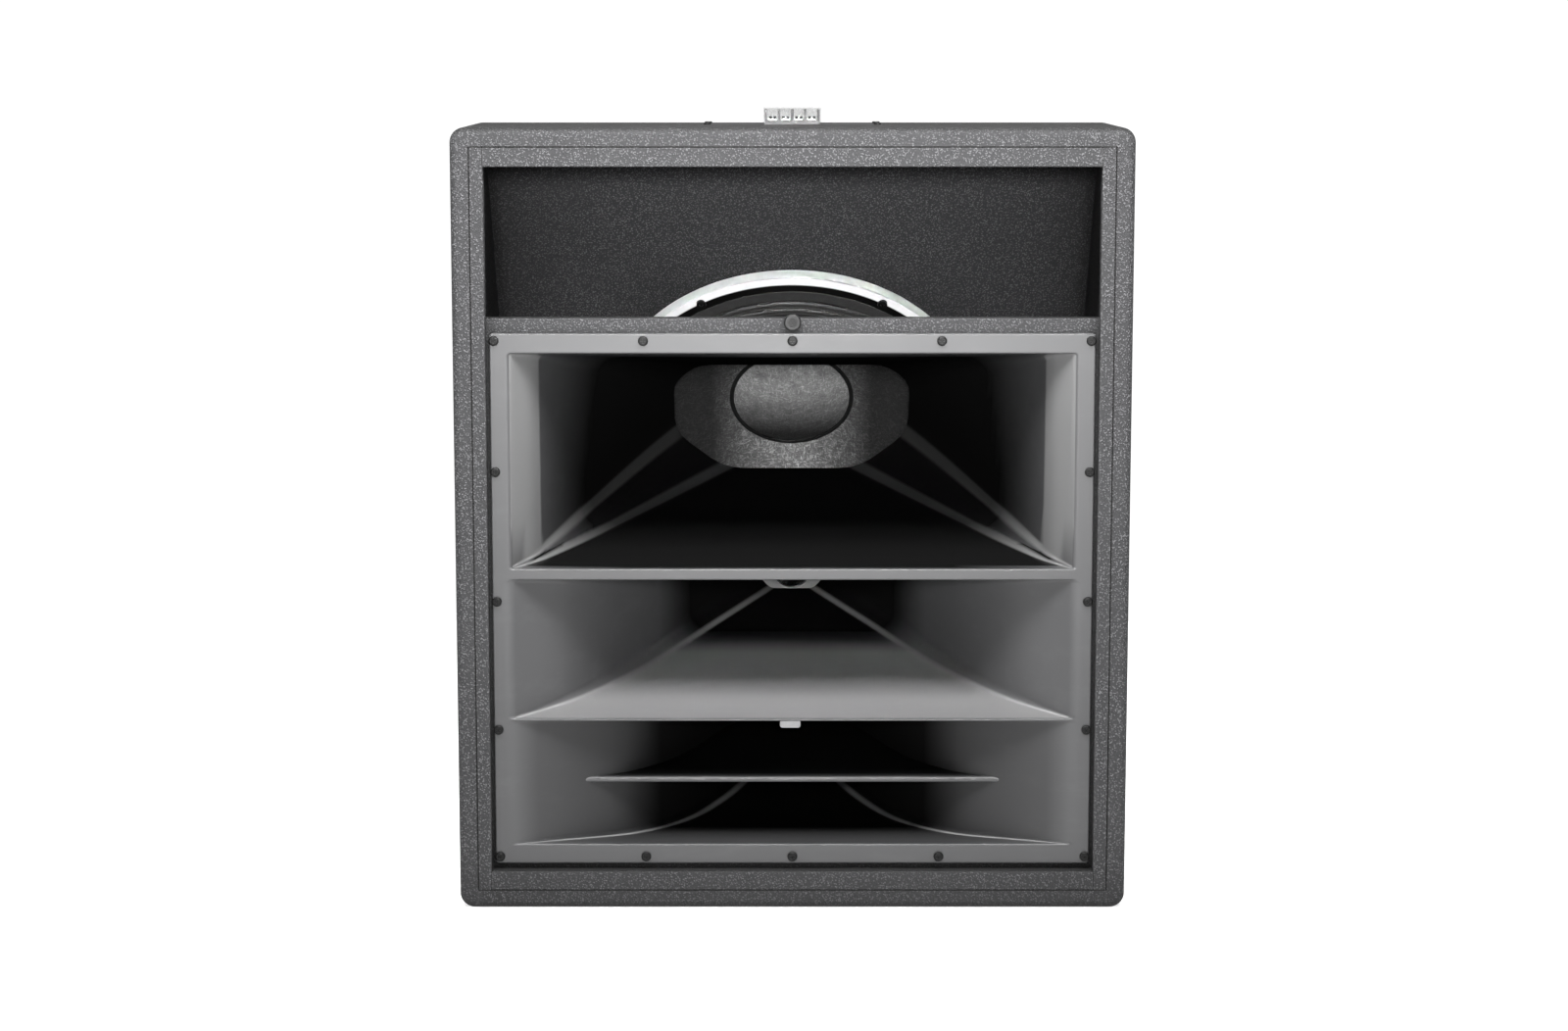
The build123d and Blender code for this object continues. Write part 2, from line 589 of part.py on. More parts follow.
with BuildPart() as woofer_frame:
    with BuildSketch(WOOFER_SECTION):
        Polygon(
            (FRAME_BORE_R, CONE_EDGE),
            (GASKET_OUT_R + 0.3, CONE_EDGE),
            (GASKET_OUT_R + 0.3, FRAME_FLANGE + GASKET),
            (FRAME_R, FRAME_FLANGE + GASKET - 3.0),
            (FRAME_R, 0),
            (CUTOUT_R - 1.0, 0),
            (CUTOUT_R - 1.0, -BASKET_SHOULDER),
            (BASKET_R, SPIDER_PLACE),
            (BASKET_R, MOTOR_FRONT),
            (MOTOR_HOLE_R, MOTOR_FRONT),
            (MOTOR_HOLE_R, MOTOR_FRONT + BASKET_FLOOR),
            (BASKET_R - BASKET_WALL, MOTOR_FRONT + BASKET_FLOOR),
            (BASKET_R - BASKET_WALL, spider_back - SPIDER_SHELF),
            (SPIDER_R - SPIDER_SEAT, spider_back - SPIDER_SHELF),
            (SPIDER_R - SPIDER_SEAT, spider_back),
            (SPIDER_R + 0.5, spider_back),
            (SPIDER_R + 0.5, SPIDER_PLACE + 2.0),
            (FRAME_BORE_R, -BASKET_SHOULDER / 2),
            align=None,
        )
    revolve(axis=WOOFER_AXIS)
    # windows between the basket's arms
    with BuildSketch(WOOFER_FACE.offset(-WINDOW_START)):
        with PolarLocations(WINDOW_R, WOOFER_BOLTS, start_angle=180 / WOOFER_BOLTS):
            Rectangle(WINDOW_RISE, WINDOW_WIDTH)
    extrude(amount=SPIDER_PLACE + WINDOW_START + WINDOW_FLOOR, mode=Mode.SUBTRACT)
    with BuildSketch(WOOFER_FACE.offset(FRAME_FLANGE + GASKET)):
        with PolarLocations(WOOFER_BOLT_R, WOOFER_BOLTS):
            Circle(WOOFER_BOLT_SHANK_R + BOLT_PLAY)
    extrude(amount=-WOOFER_BOLT_LENGTH, mode=Mode.SUBTRACT)
    with BuildSketch(WOOFER_FACE.offset(BOLT_SEAT)):
        with PolarLocations(WOOFER_BOLT_R, WOOFER_BOLTS):
            Circle(BOLT_HEAD_R + 0.4)
    extrude(amount=GASKET + 2.0, mode=Mode.SUBTRACT)
save(woofer_frame, "woofer_frame")

with BuildPart() as gasket:
    with BuildSketch(WOOFER_FACE.offset(FRAME_FLANGE)):
        Circle(GASKET_OUT_R)
        Circle(GASKET_IN_R, mode=Mode.SUBTRACT)
    extrude(amount=GASKET)
    fillet(gasket.faces().filter_by(GeomType.PLANE).sort_by(WOOFER_AXIS)[-1].edges(), radius=1.0)
save(gasket, "woofer_gasket")

# Two half rolls of thin treated cloth between the cone's edge and the frame.
ROLL = (FRAME_BORE_R - 1.5 - CONE_R) / 2 / 2
with BuildPart() as surround:
    with BuildSketch(WOOFER_SECTION):
        with Locations(((SURROUND_OUT_R + FRAME_BORE_R - 1.5) / 2, FRAME_FLANGE - SURROUND / 2)):
            Rectangle(SURROUND_OUT_R - FRAME_BORE_R + 2.5, SURROUND)
        for place in (CONE_R + ROLL, CONE_R + 3 * ROLL):
            with BuildLine():
                rim = FRAME_FLANGE - SURROUND
                CenterArc((place, rim), ROLL + SURROUND / 2, 0, 180)
                Line((place - ROLL - SURROUND / 2, rim), (place - ROLL + SURROUND / 2, rim))
                CenterArc((place, rim), ROLL - SURROUND / 2, 0, 180)
                Line((place + ROLL - SURROUND / 2, rim), (place + ROLL + SURROUND / 2, rim))
            make_face()
        with Locations((CONE_R - 2.5, CONE_EDGE + SURROUND / 2)):
            Rectangle(6.0, SURROUND)
    revolve(axis=WOOFER_AXIS)
save(surround, "woofer_surround")

with BuildPart() as cone:
    with BuildSketch(WOOFER_SECTION):
        Polygon(
            (CONE_R, CONE_EDGE),
            (CONE_R - CONE_LIP, CONE_EDGE),
            (COIL_R + FORMER_WALL, NECK),
            (COIL_R + FORMER_WALL, NECK - CONE_WALL),
            (CONE_R - CONE_LIP, CONE_EDGE - CONE_WALL),
            (CONE_R, CONE_EDGE - CONE_WALL),
            align=None,
        )
    revolve(axis=WOOFER_AXIS)
save(cone, "woofer_cone")

CAP_RISE = 17.0
cap_sphere = (CAP_R ** 2 + CAP_RISE ** 2) / (2 * CAP_RISE)
cap_angle = degrees(atan2(CAP_R, cap_sphere - CAP_RISE))
with BuildPart() as cap:
    with BuildSketch(WOOFER_SECTION):
        with BuildLine():
            middle = cap_edge + CAP_RISE - cap_sphere
            front_arc = CenterArc((0, middle), cap_sphere, 90 - cap_angle, cap_angle)
            back_arc = CenterArc((0, middle), cap_sphere - 1.0, 90 - cap_angle, cap_angle)
            Line(front_arc @ 0, back_arc @ 0)
            Line(front_arc @ 1, back_arc @ 1)
        make_face()
    revolve(axis=WOOFER_AXIS)
save(cap, "dust_cap")

FORMER_END = MOTOR_FRONT - TOP_PLATE - 8.0
with BuildPart() as former:
    with BuildSketch(WOOFER_FACE.offset(FORMER_END)):
        Circle(COIL_R + FORMER_WALL)
        Circle(COIL_R, mode=Mode.SUBTRACT)
    extrude(amount=NECK - FORMER_END)
save(former, "voice_coil_former")

WINDING = 1.0
with BuildPart() as winding:
    with BuildSketch(WOOFER_FACE.offset(FORMER_END + 1.0)):
        Circle(COIL_R + FORMER_WALL + WINDING)
        Circle(COIL_R + FORMER_WALL, mode=Mode.SUBTRACT)
    extrude(amount=TOP_PLATE + 8.0)
save(winding, "voice_coil_winding")

SPIDER_FOLDS = 8
SPIDER_FOLD = 1.6
SPIDER_GLUE = 4.0  # flat ring on the former
with BuildPart() as spider:
    with BuildSketch(WOOFER_SECTION):
        inner_r = COIL_R + FORMER_WALL
        run = (SPIDER_R - SPIDER_SEAT - 1.0 - inner_r - SPIDER_GLUE) / SPIDER_FOLDS
        wave = [
            (inner_r + SPIDER_GLUE + run * i, SPIDER_PLACE + i % 2 * SPIDER_FOLD)
            for i in range(SPIDER_FOLDS + 1)
        ]
        front = [(inner_r, SPIDER_PLACE)] + wave + [(SPIDER_R, SPIDER_PLACE)]
        back = [(radius, place - SPIDER_WALL) for radius, place in reversed(front)]
        Polygon(*front, *back, align=None)
    revolve(axis=WOOFER_AXIS)
save(spider, "woofer_spider")

with BuildPart() as top_plate:
    with BuildSketch(WOOFER_FACE.offset(MOTOR_FRONT)):
        Circle(MAGNET_R - 3.0)
        Circle(COIL_R + FORMER_WALL + WINDING + GAP, mode=Mode.SUBTRACT)
    extrude(amount=-TOP_PLATE)
save(top_plate, "woofer_top_plate")

with BuildPart() as magnet:
    with BuildSketch(WOOFER_FACE.offset(MOTOR_FRONT - TOP_PLATE)):
        Circle(MAGNET_R)
        Circle(COIL_R + 10.0, mode=Mode.SUBTRACT)
    extrude(amount=-MAGNET)
    rims = magnet.faces().filter_by(GeomType.PLANE).edges().sort_by(SortBy.LENGTH)[-2:]
    chamfer(rims, length=1.5)
save(magnet, "woofer_magnet")

with BuildPart() as back_plate:
    with BuildSketch(WOOFER_FACE.offset(MOTOR_FRONT - TOP_PLATE - MAGNET)):
        Circle(MAGNET_R - 3.0)
    extrude(amount=-BACK_PLATE)
    with BuildSketch(WOOFER_FACE.offset(MOTOR_FRONT)):
        Circle(COIL_R - GAP)
    extrude(amount=-(TOP_PLATE + MAGNET))
    with BuildSketch(WOOFER_FACE.offset(MOTOR_FRONT)):
        Circle(16.0)
    extrude(amount=-(TOP_PLATE + MAGNET + BACK_PLATE), mode=Mode.SUBTRACT)
save(back_plate, "woofer_back_plate")

# The terminal block stands on the side of the basket, on the right.
TAG_LENGTH = 34.0
TAG_WIDTH = 16.0
TAG_HEIGHT = 9.0
TAG_POST_R = 4.0
TAG_POST = 6.0
TAG_PLACE = MOTOR_FRONT + 12.0


def tag_plane(out):
    """A plane at the right of the basket, X up along the baffle and Y along the woofer's axis."""
    return Plane(origin=woofer_centre + Vector(BASKET_R + out, 0, 0), x_dir=up_dir, z_dir=(1, 0, 0))


with BuildPart() as terminal_block:
    with BuildSketch(tag_plane(-1.0)):
        with Locations((0, TAG_PLACE)):
            Rectangle(TAG_LENGTH, TAG_WIDTH)
    extrude(amount=TAG_HEIGHT + 1.0)
    with BuildSketch(tag_plane(TAG_HEIGHT)):
        with Locations((-9.0, TAG_PLACE), (9.0, TAG_PLACE)):
            Circle(TAG_POST_R)
    extrude(amount=TAG_POST)
    with BuildSketch(WOOFER_FACE.offset(MOTOR_FRONT - 1.0)):
        Circle(BASKET_R)
    extrude(amount=40.0, mode=Mode.SUBTRACT)
save(terminal_block, "woofer_terminals")

with BuildPart() as woofer_bolts:
    with BuildSketch(WOOFER_FACE.offset(BOLT_SEAT)):
        with PolarLocations(WOOFER_BOLT_R, WOOFER_BOLTS):
            Circle(BOLT_HEAD_R)
    extrude(amount=BOLT_HEAD)
    with BuildSketch(WOOFER_FACE.offset(BOLT_SEAT)):
        with PolarLocations(WOOFER_BOLT_R, WOOFER_BOLTS):
            Circle(WOOFER_BOLT_SHANK_R)
    extrude(amount=-WOOFER_BOLT_LENGTH)
    with BuildSketch(WOOFER_FACE.offset(BOLT_SEAT + BOLT_HEAD)):
        with PolarLocations(WOOFER_BOLT_R, WOOFER_BOLTS):
            RegularPolygon(HEX_SOCKET_R, 6)
    extrude(amount=-HEX_SOCKET, mode=Mode.SUBTRACT)
save(woofer_bolts, "woofer_bolts")


# ================= compression drivers =================
def compression_driver(prefix, radius, throat_depth, throat_z, throat_half, throat_height):
    """A horn driver on the back of a throat: plate, magnet, phase plug, dome and rear cap."""
    start = FRONT + throat_depth
    axis = Axis((0, start, throat_z), (0, 1, 0))
    throat_r = min(throat_half, throat_height / 2) - 1.0
    coil_r = radius * 0.62
    plug_r = coil_r - 1.0
    back = start + DRIVER_PLATE + DRIVER_MAGNET

    def disc(y):
        return BuildSketch(Plane(origin=(0, y, throat_z), x_dir=(1, 0, 0), z_dir=(0, 1, 0)))

    section_plane = Plane(origin=(0, start, throat_z), x_dir=(1, 0, 0), z_dir=(0, 0, 1))

    with BuildPart() as plate:
        with disc(start):
            Circle(radius)
            Circle(throat_r, mode=Mode.SUBTRACT)
        extrude(amount=DRIVER_PLATE)
        with disc(start):
            with PolarLocations(radius - DRIVER_BOLT_INSET, DRIVER_BOLTS, start_angle=45):
                Circle(DRIVER_BOLT_R + DRIVER_BOLT_PLAY)
        extrude(amount=DRIVER_PLATE, mode=Mode.SUBTRACT)
    save(plate, f"{prefix}_driver_plate")

    with BuildPart() as ring:
        with disc(start + DRIVER_PLATE):
            Circle(radius - 1.0)
            Circle(plug_r + 1.2, mode=Mode.SUBTRACT)
            with PolarLocations(radius - DRIVER_BOLT_INSET, DRIVER_BOLTS, start_angle=45):
                Circle(DRIVER_BOLT_R + DRIVER_BOLT_PLAY, mode=Mode.SUBTRACT)
        extrude(amount=DRIVER_MAGNET)
    save(ring, f"{prefix}_driver_magnet")

    # The plug is a core with an annular slot that leads the sound into the throat.
    with BuildPart() as plug:
        with BuildSketch(section_plane):
            with BuildLine():
                Polyline(
                    (throat_r, DRIVER_PLATE),
                    (plug_r, DRIVER_PLATE),
                    (plug_r, DRIVER_PLATE + DRIVER_MAGNET),
                    (plug_r - 6.0, DRIVER_PLATE + DRIVER_MAGNET),
                    close=True,
                )
            make_face()
        revolve(axis=axis)
    save(plug, f"{prefix}_phase_plug")

    edge = DRIVER_PLATE + DRIVER_MAGNET + DOME_GAP
    sphere = (plug_r ** 2 + DOME_RISE ** 2) / (2 * DOME_RISE)
    angle = degrees(atan2(plug_r, sphere - DOME_RISE))
    with BuildPart() as dome:
        with BuildSketch(section_plane):
            with BuildLine():
                centre = edge + DOME_RISE - sphere
                outer = CenterArc((0, centre), sphere, 90 - angle, angle)
                inner = CenterArc((0, centre), sphere - DOME_WALL, 90 - angle, angle)
                Line(outer @ 0, inner @ 0)
                Line(outer @ 1, inner @ 1)
            make_face()
            with Locations((plug_r + 2.0, edge + DOME_WALL / 2)):
                Rectangle(5.2, DOME_WALL)
        revolve(axis=axis)
    save(dome, f"{prefix}_diaphragm")

    with BuildPart() as rear_cap:
        with disc(back):
            Circle(radius - 1.0)
        extrude(amount=DRIVER_CAP)
        fillet(rear_cap.faces().sort_by(Axis.Y)[-1].edges(), radius=CAP_ROUND)
        with disc(back):
            Circle(radius - CAP_RIM)
        extrude(amount=DRIVER_CAP - CAP_SHELL, mode=Mode.SUBTRACT)
        with disc(back):
            with PolarLocations(radius - DRIVER_BOLT_INSET, DRIVER_BOLTS, start_angle=45):
                Circle(DRIVER_BOLT_R + 0.05)
        extrude(amount=DRIVER_BOLT_BITE + 0.5, mode=Mode.SUBTRACT)
    save(rear_cap, f"{prefix}_driver_cap")


mid_centre = mid_floor + MID_THROAT_HEIGHT / 2
high_centre = high_floor + HIGH_THROAT_HEIGHT / 2
compression_driver(
    "mid", MID_DRIVER_R, MID_THROAT_DEPTH, mid_centre, MID_THROAT_HALF, MID_THROAT_HEIGHT
)
compression_driver(
    "high", HIGH_DRIVER_R, HIGH_THROAT_DEPTH, high_centre, HIGH_THROAT_HALF, HIGH_THROAT_HEIGHT
)

with BuildPart() as driver_bolts:
    for radius, depth, z in (
        (MID_DRIVER_R, MID_THROAT_DEPTH, mid_centre),
        (HIGH_DRIVER_R, HIGH_THROAT_DEPTH, high_centre),
    ):
        plate_face = Plane(origin=(0, FRONT + depth, z), x_dir=(1, 0, 0), z_dir=(0, 1, 0))
        with BuildSketch(plate_face):
            with PolarLocations(radius - DRIVER_BOLT_INSET, DRIVER_BOLTS, start_angle=45):
                Circle(DRIVER_BOLT_R)
        extrude(amount=DRIVER_PLATE + DRIVER_MAGNET + DRIVER_BOLT_BITE)
        with BuildSketch(plate_face):
            with PolarLocations(radius - DRIVER_BOLT_INSET, DRIVER_BOLTS, start_angle=45):
                Circle(DRIVER_BOLT_R + 1.0)
        extrude(amount=-DRIVER_BOLT_HEAD)
save(driver_bolts, "driver_bolts")

# ================= input plate =================
PLATE_SCREW_GRID = (PLATE_WIDTH - 2 * PLATE_SCREW_INSET, PLATE_LENGTH - 2 * PLATE_SCREW_INSET, 2, 2)
with BuildPart() as input_plate:
    with BuildSketch(Plane.XY.offset(HEIGHT - PLATE)):
        with Locations((0, plate_middle)):
            RectangleRounded(PLATE_WIDTH, PLATE_LENGTH, PLATE_CORNER)
            with GridLocations(*PLATE_SCREW_GRID):
                Circle(PLATE_SCREW_SHANK_R + SCREW_PLAY, mode=Mode.SUBTRACT)
    extrude(amount=PLATE)
save(input_plate, "input_plate")

with BuildPart() as plate_screws:
    with BuildSketch(Plane.XY.offset(HEIGHT)):
        with Locations((0, plate_middle)):
            with GridLocations(*PLATE_SCREW_GRID):
                Circle(PLATE_SCREW_R)
    extrude(amount=PLATE_SCREW_HEAD)
    with BuildSketch(Plane.XY.offset(HEIGHT)):
        with Locations((0, plate_middle)):
            with GridLocations(*PLATE_SCREW_GRID):
                Circle(PLATE_SCREW_SHANK_R)
    extrude(amount=-PLATE)
save(plate_screws, "plate_screws")

BLOCK_WIDTH = POLES * PITCH + RIB
BLOCK_LENGTH = 26.0
BLOCK_BASE = 4.0
CLAMP = 1.0
CLAMP_SIDE = PITCH - RIB - 1.2
TERMINAL_HEAD = 2.4
TERMINAL_SHANK_R = 1.5
pole_x = [PITCH * (i - (POLES - 1) / 2) for i in range(POLES)]
with BuildPart() as barrier_strip:
    with BuildSketch(Plane.XY.offset(HEIGHT)):
        with Locations((0, plate_middle)):
            Rectangle(BLOCK_WIDTH, BLOCK_LENGTH)
    extrude(amount=BLOCK_BASE)
    with BuildSketch(Plane.XY.offset(HEIGHT)):
        with Locations((0, plate_middle)):
            with GridLocations(PITCH, 1, POLES + 1, 1):
                Rectangle(RIB, BLOCK_LENGTH)
    extrude(amount=RIB_HEIGHT)
    with BuildSketch(Plane.XY.offset(HEIGHT + BLOCK_BASE)):
        with Locations((0, plate_middle)):
            with Locations(*[(x, 0) for x in pole_x]):
                Circle(TERMINAL_SHANK_R + 0.05)
    extrude(amount=-BLOCK_BASE, mode=Mode.SUBTRACT)
save(barrier_strip, "barrier_strip")

for number, x in enumerate(pole_x, start=1):
    with BuildPart() as terminal_screw:
        with BuildSketch(Plane.XY.offset(HEIGHT + BLOCK_BASE)):
            with Locations((x, plate_middle)):
                RectangleRounded(CLAMP_SIDE, CLAMP_SIDE, 0.8)
        extrude(amount=CLAMP)
        with BuildSketch(Plane.XY.offset(HEIGHT + BLOCK_BASE + CLAMP)):
            with Locations((x, plate_middle)):
                Circle(TERMINAL_SCREW_R)
        extrude(amount=TERMINAL_HEAD)
        with BuildSketch(Plane.XY.offset(HEIGHT + BLOCK_BASE)):
            with Locations((x, plate_middle)):
                Circle(TERMINAL_SHANK_R)
        extrude(amount=-BLOCK_BASE)
        with BuildSketch(Plane.XY.offset(HEIGHT + BLOCK_BASE + CLAMP + TERMINAL_HEAD)):
            with Locations((x, plate_middle)):
                Rectangle(6.0, 0.9)
                Rectangle(0.9, 4.0)
        extrude(amount=-1.2, mode=Mode.SUBTRACT)
    save(terminal_screw, f"terminal_screw_{number}")

COVER_WALL = 1.2
COVER_GAP = 0.3  # between the cover and the block
COVER_FOOT = 0.2  # between the cover's rim and the plate
COVER_INSIDE = RIB_HEIGHT + COVER_GAP
with BuildPart() as cover:
    with BuildSketch(Plane.XY.offset(HEIGHT + COVER_FOOT)):
        with Locations((0, plate_middle)):
            reach = 2 * (COVER_WALL + COVER_GAP)
            Rectangle(BLOCK_WIDTH + reach, BLOCK_LENGTH + reach)
    extrude(amount=COVER_INSIDE + COVER_WALL)
    with BuildSketch(Plane.XY.offset(HEIGHT + COVER_FOOT)):
        with Locations((0, plate_middle)):
            Rectangle(BLOCK_WIDTH + 2 * COVER_GAP, BLOCK_LENGTH + 2 * COVER_GAP)
    extrude(amount=COVER_INSIDE, mode=Mode.SUBTRACT)
save(cover, "barrier_cover")

# ================= crossover =================
SPACER_INSET = 8.0
COIL_HEIGHT = 24.0
# x and z from the board's middle, outer and inner radius
COILS = ((-70.0, 35.0, 26.0, 11.0), (-70.0, -35.0, 26.0, 11.0), (72.0, 42.0, 20.0, 9.0))
# x and z from the board's middle, radius, length
CAPACITORS = ((0.0, 44.0, 12.0, 54.0), (0.0, 12.0, 12.0, 54.0), (10.0, -50.0, 9.0, 40.0))
RESISTORS = ((70.0, -10.0), (70.0, -34.0))
RESISTOR_LENGTH = 48.0
RESISTOR_SIDE = 10.0

# the baffle's back meets the back panel, or the floor, here
baffle_foot = max(PLY, baffle_top.Z - (BACK_INNER - baffle_top.Y - BAFFLE_RUN) / tan(lean))
crossover_z = baffle_foot + CROSSOVER_RISE + CROSSOVER_HEIGHT / 2
with BuildPart() as spacers:
    with BuildSketch(front_plane(BACK_INNER)):
        with Locations((0, crossover_z)):
            spread = (CROSSOVER_WIDTH - 2 * SPACER_INSET, CROSSOVER_HEIGHT - 2 * SPACER_INSET)
            with GridLocations(*spread, 2, 2):
                Circle(4.0)
    extrude(amount=SPACER)
save(spacers, "crossover_spacers")

board_y = BACK_INNER - SPACER
with BuildPart() as crossover_board:
    with BuildSketch(front_plane(board_y)):
        with Locations((0, crossover_z)):
            Rectangle(CROSSOVER_WIDTH, CROSSOVER_HEIGHT)
    extrude(amount=CROSSOVER_BOARD)
save(crossover_board, "crossover_board")

parts_y = board_y - CROSSOVER_BOARD
with BuildPart() as coils:
    with BuildSketch(front_plane(parts_y)):
        for x, z, outer_radius, inner_radius in COILS:
            with Locations((x, crossover_z + z)):
                Circle(outer_radius)
                Circle(inner_radius, mode=Mode.SUBTRACT)
    extrude(amount=COIL_HEIGHT)
save(coils, "crossover_coils")

with BuildPart() as capacitors:
    for x, z, radius, length in CAPACITORS:
        start = (x - length / 2, parts_y - radius, crossover_z + z)
        with BuildSketch(Plane(origin=start, x_dir=(0, 1, 0), z_dir=(1, 0, 0))):
            Circle(radius)
        extrude(amount=length)
save(capacitors, "crossover_capacitors")

with BuildPart() as resistors:
    with BuildSketch(front_plane(parts_y)):
        with Locations(*[(x, crossover_z + z) for x, z in RESISTORS]):
            Rectangle(RESISTOR_LENGTH, RESISTOR_SIDE)
    extrude(amount=RESISTOR_SIDE)
save(resistors, "crossover_resistors")

# ================= damping =================
lining_plane = Plane(
    origin=(0, KINK - MITRE, HEIGHT - PLY),
    x_dir=(1, 0, 0),
    z_dir=(0, -sin(radians(REAR_SLOPE)), -cos(radians(REAR_SLOPE))),
)
with BuildPart() as lining:
    with BuildSketch(lining_plane):
        with Locations((0, -LINING_START - LINING_LENGTH / 2)):
            Rectangle(2 * (INNER - LINING_MARGIN), LINING_LENGTH)
    extrude(amount=LINING)
    fillet(lining.faces().sort_by(Axis.Z)[0].edges(), radius=6.0)
save(lining, "damping_lining")

# ================= rigging inserts =================
INSERT_R = RIGGING_R + INSERT_WALL


def rigging_plane(side, y, out):
    """A plane on the inside of a side panel, facing outwards, at a rigging point."""
    return Plane(origin=(side * (INNER + out), y, HEIGHT / 2), x_dir=(0, 1, 0), z_dir=(side, 0, 0))


with BuildPart() as inserts:
    for side in (-1, 1):
        for y in (-RIGGING_SPACING / 2, RIGGING_SPACING / 2):
            with BuildSketch(rigging_plane(side, y, 0)):
                Circle(INSERT_R)
            extrude(amount=PLY - INSERT_DEPTH)
            with BuildSketch(rigging_plane(side, y, -INSERT_FLANGE)):
                Circle(INSERT_FLANGE_R)
            extrude(amount=INSERT_FLANGE)
            with BuildSketch(rigging_plane(side, y, -INSERT_FLANGE)):
                Circle(RIGGING_R)
            extrude(amount=PLY + INSERT_FLANGE, mode=Mode.SUBTRACT)
save(inserts, "rigging_inserts")
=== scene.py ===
"""A horn-loaded loudspeaker cabinet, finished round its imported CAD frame.

Lengths are in metres, in the CAD frame: +X is the right-hand side seen from the front,
+Y points to the back and +Z is up. Depths are measured back from the cabinet's front.
"""

import json
from math import atan2, cos, pi, radians, sin

import bmesh
import bpy
from bpy.props import FloatProperty, FloatVectorProperty, PointerProperty
from mathutils import Euler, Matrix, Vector, noise


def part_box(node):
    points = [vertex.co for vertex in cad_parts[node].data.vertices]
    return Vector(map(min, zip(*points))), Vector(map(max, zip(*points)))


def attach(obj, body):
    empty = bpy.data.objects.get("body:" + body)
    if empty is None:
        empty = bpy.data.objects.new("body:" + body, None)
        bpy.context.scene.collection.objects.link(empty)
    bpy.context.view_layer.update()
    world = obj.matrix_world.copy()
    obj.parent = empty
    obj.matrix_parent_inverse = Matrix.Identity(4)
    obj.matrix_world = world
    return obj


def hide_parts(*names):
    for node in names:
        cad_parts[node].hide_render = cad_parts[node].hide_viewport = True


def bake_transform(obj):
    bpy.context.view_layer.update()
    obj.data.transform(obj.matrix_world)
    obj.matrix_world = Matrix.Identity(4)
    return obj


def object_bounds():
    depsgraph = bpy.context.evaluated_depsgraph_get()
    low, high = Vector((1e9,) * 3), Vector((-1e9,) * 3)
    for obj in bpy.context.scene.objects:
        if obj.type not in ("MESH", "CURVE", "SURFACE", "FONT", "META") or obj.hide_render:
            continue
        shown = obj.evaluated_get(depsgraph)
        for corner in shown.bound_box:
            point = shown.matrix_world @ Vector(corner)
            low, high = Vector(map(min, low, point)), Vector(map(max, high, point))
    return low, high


bl_info = {
    "name": "Horn Loudspeaker Finish",
    "version": (1, 0, 0),
    "blender": (4, 5, 0),
    "location": "3D View > Sidebar > Loudspeaker",
    "description": "Builds the horn mouldings, the cone and the finishes of a loudspeaker cabinet",
    "category": "Object",
}

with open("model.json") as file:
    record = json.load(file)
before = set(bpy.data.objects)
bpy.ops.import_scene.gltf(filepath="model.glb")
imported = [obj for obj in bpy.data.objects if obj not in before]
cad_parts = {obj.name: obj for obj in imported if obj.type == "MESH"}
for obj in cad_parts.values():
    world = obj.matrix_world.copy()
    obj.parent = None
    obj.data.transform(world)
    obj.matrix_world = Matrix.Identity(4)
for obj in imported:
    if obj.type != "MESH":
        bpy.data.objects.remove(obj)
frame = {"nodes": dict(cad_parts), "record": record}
cad_low, cad_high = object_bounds()
MM = 0.001

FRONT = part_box("left_side")[0].y
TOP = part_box("top_panel")[1].z
FLANGE_LOW, FLANGE_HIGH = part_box("horn_flange")
FACE = FLANGE_LOW.y
GASKET_LOW, GASKET_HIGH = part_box("woofer_gasket")
LINING_LOW, LINING_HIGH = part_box("damping_lining")
CABINET = "cabinet"
CONE = "cone_assembly"
MOULDING = "satin_black_moulding"


# ---------------------------------------------------------------- settings


def size(name, description, default, **limits):
    """A length that a user can change."""
    return FloatProperty(
        name=name, description=description, default=default, unit="LENGTH", precision=4, **limits
    )


def tint(name, description, default):
    """A colour that a user can change."""
    return FloatVectorProperty(
        name=name, description=description, default=default, subtype="COLOR", size=3, min=0, max=1
    )


def power(name, description, default):
    """The power of a lamp, which a user can change."""
    return FloatProperty(name=name, description=description, default=default, unit="POWER")


class HornSettings(bpy.types.PropertyGroup):
    """Sizes of the one-piece horn front."""

    side: size("Side flange", "Flange beside the mouths", 17.7 * MM)
    end: size("End flange", "Flange above and below the mouths", 19.0 * MM)
    top_mouth: size("Top mouth", "Height of the top mouth", 205.5 * MM)
    middle_mouth: size("Middle mouth", "Height of the middle mouth", 134.8 * MM)
    divider: size("Divider", "Bar between the top and the middle mouth", 10.8 * MM)
    lip: size("Lip", "Thin edge between the middle and the bottom mouth", 2.0 * MM)
    corner: size("Flange corner", "Cut at the flange's corners", 1.8 * MM)
    edge: size("Flange edge", "Rounding of the flange's outer edge", 1.1 * MM)
    crease: size("Crease", "Rounding of the creases in the horns", 5.0 * MM)
    thinnest: size("Thin wall", "Wall at the mouths", 0.9 * MM)
    thickest: size("Thick wall", "Wall at the throats", 4.0 * MM)
    vane: size("Vane", "Thickness of the vane", 5.2 * MM)
    vane_drop: size("Vane drop", "From the bottom mouth's top edge to the vane", 59.9 * MM)
    vane_start: size("Vane start", "Depth of the vane's front edge", 31.0 * MM)
    vane_end: size("Vane end", "Depth of the vane's rear edge", 200.0 * MM)


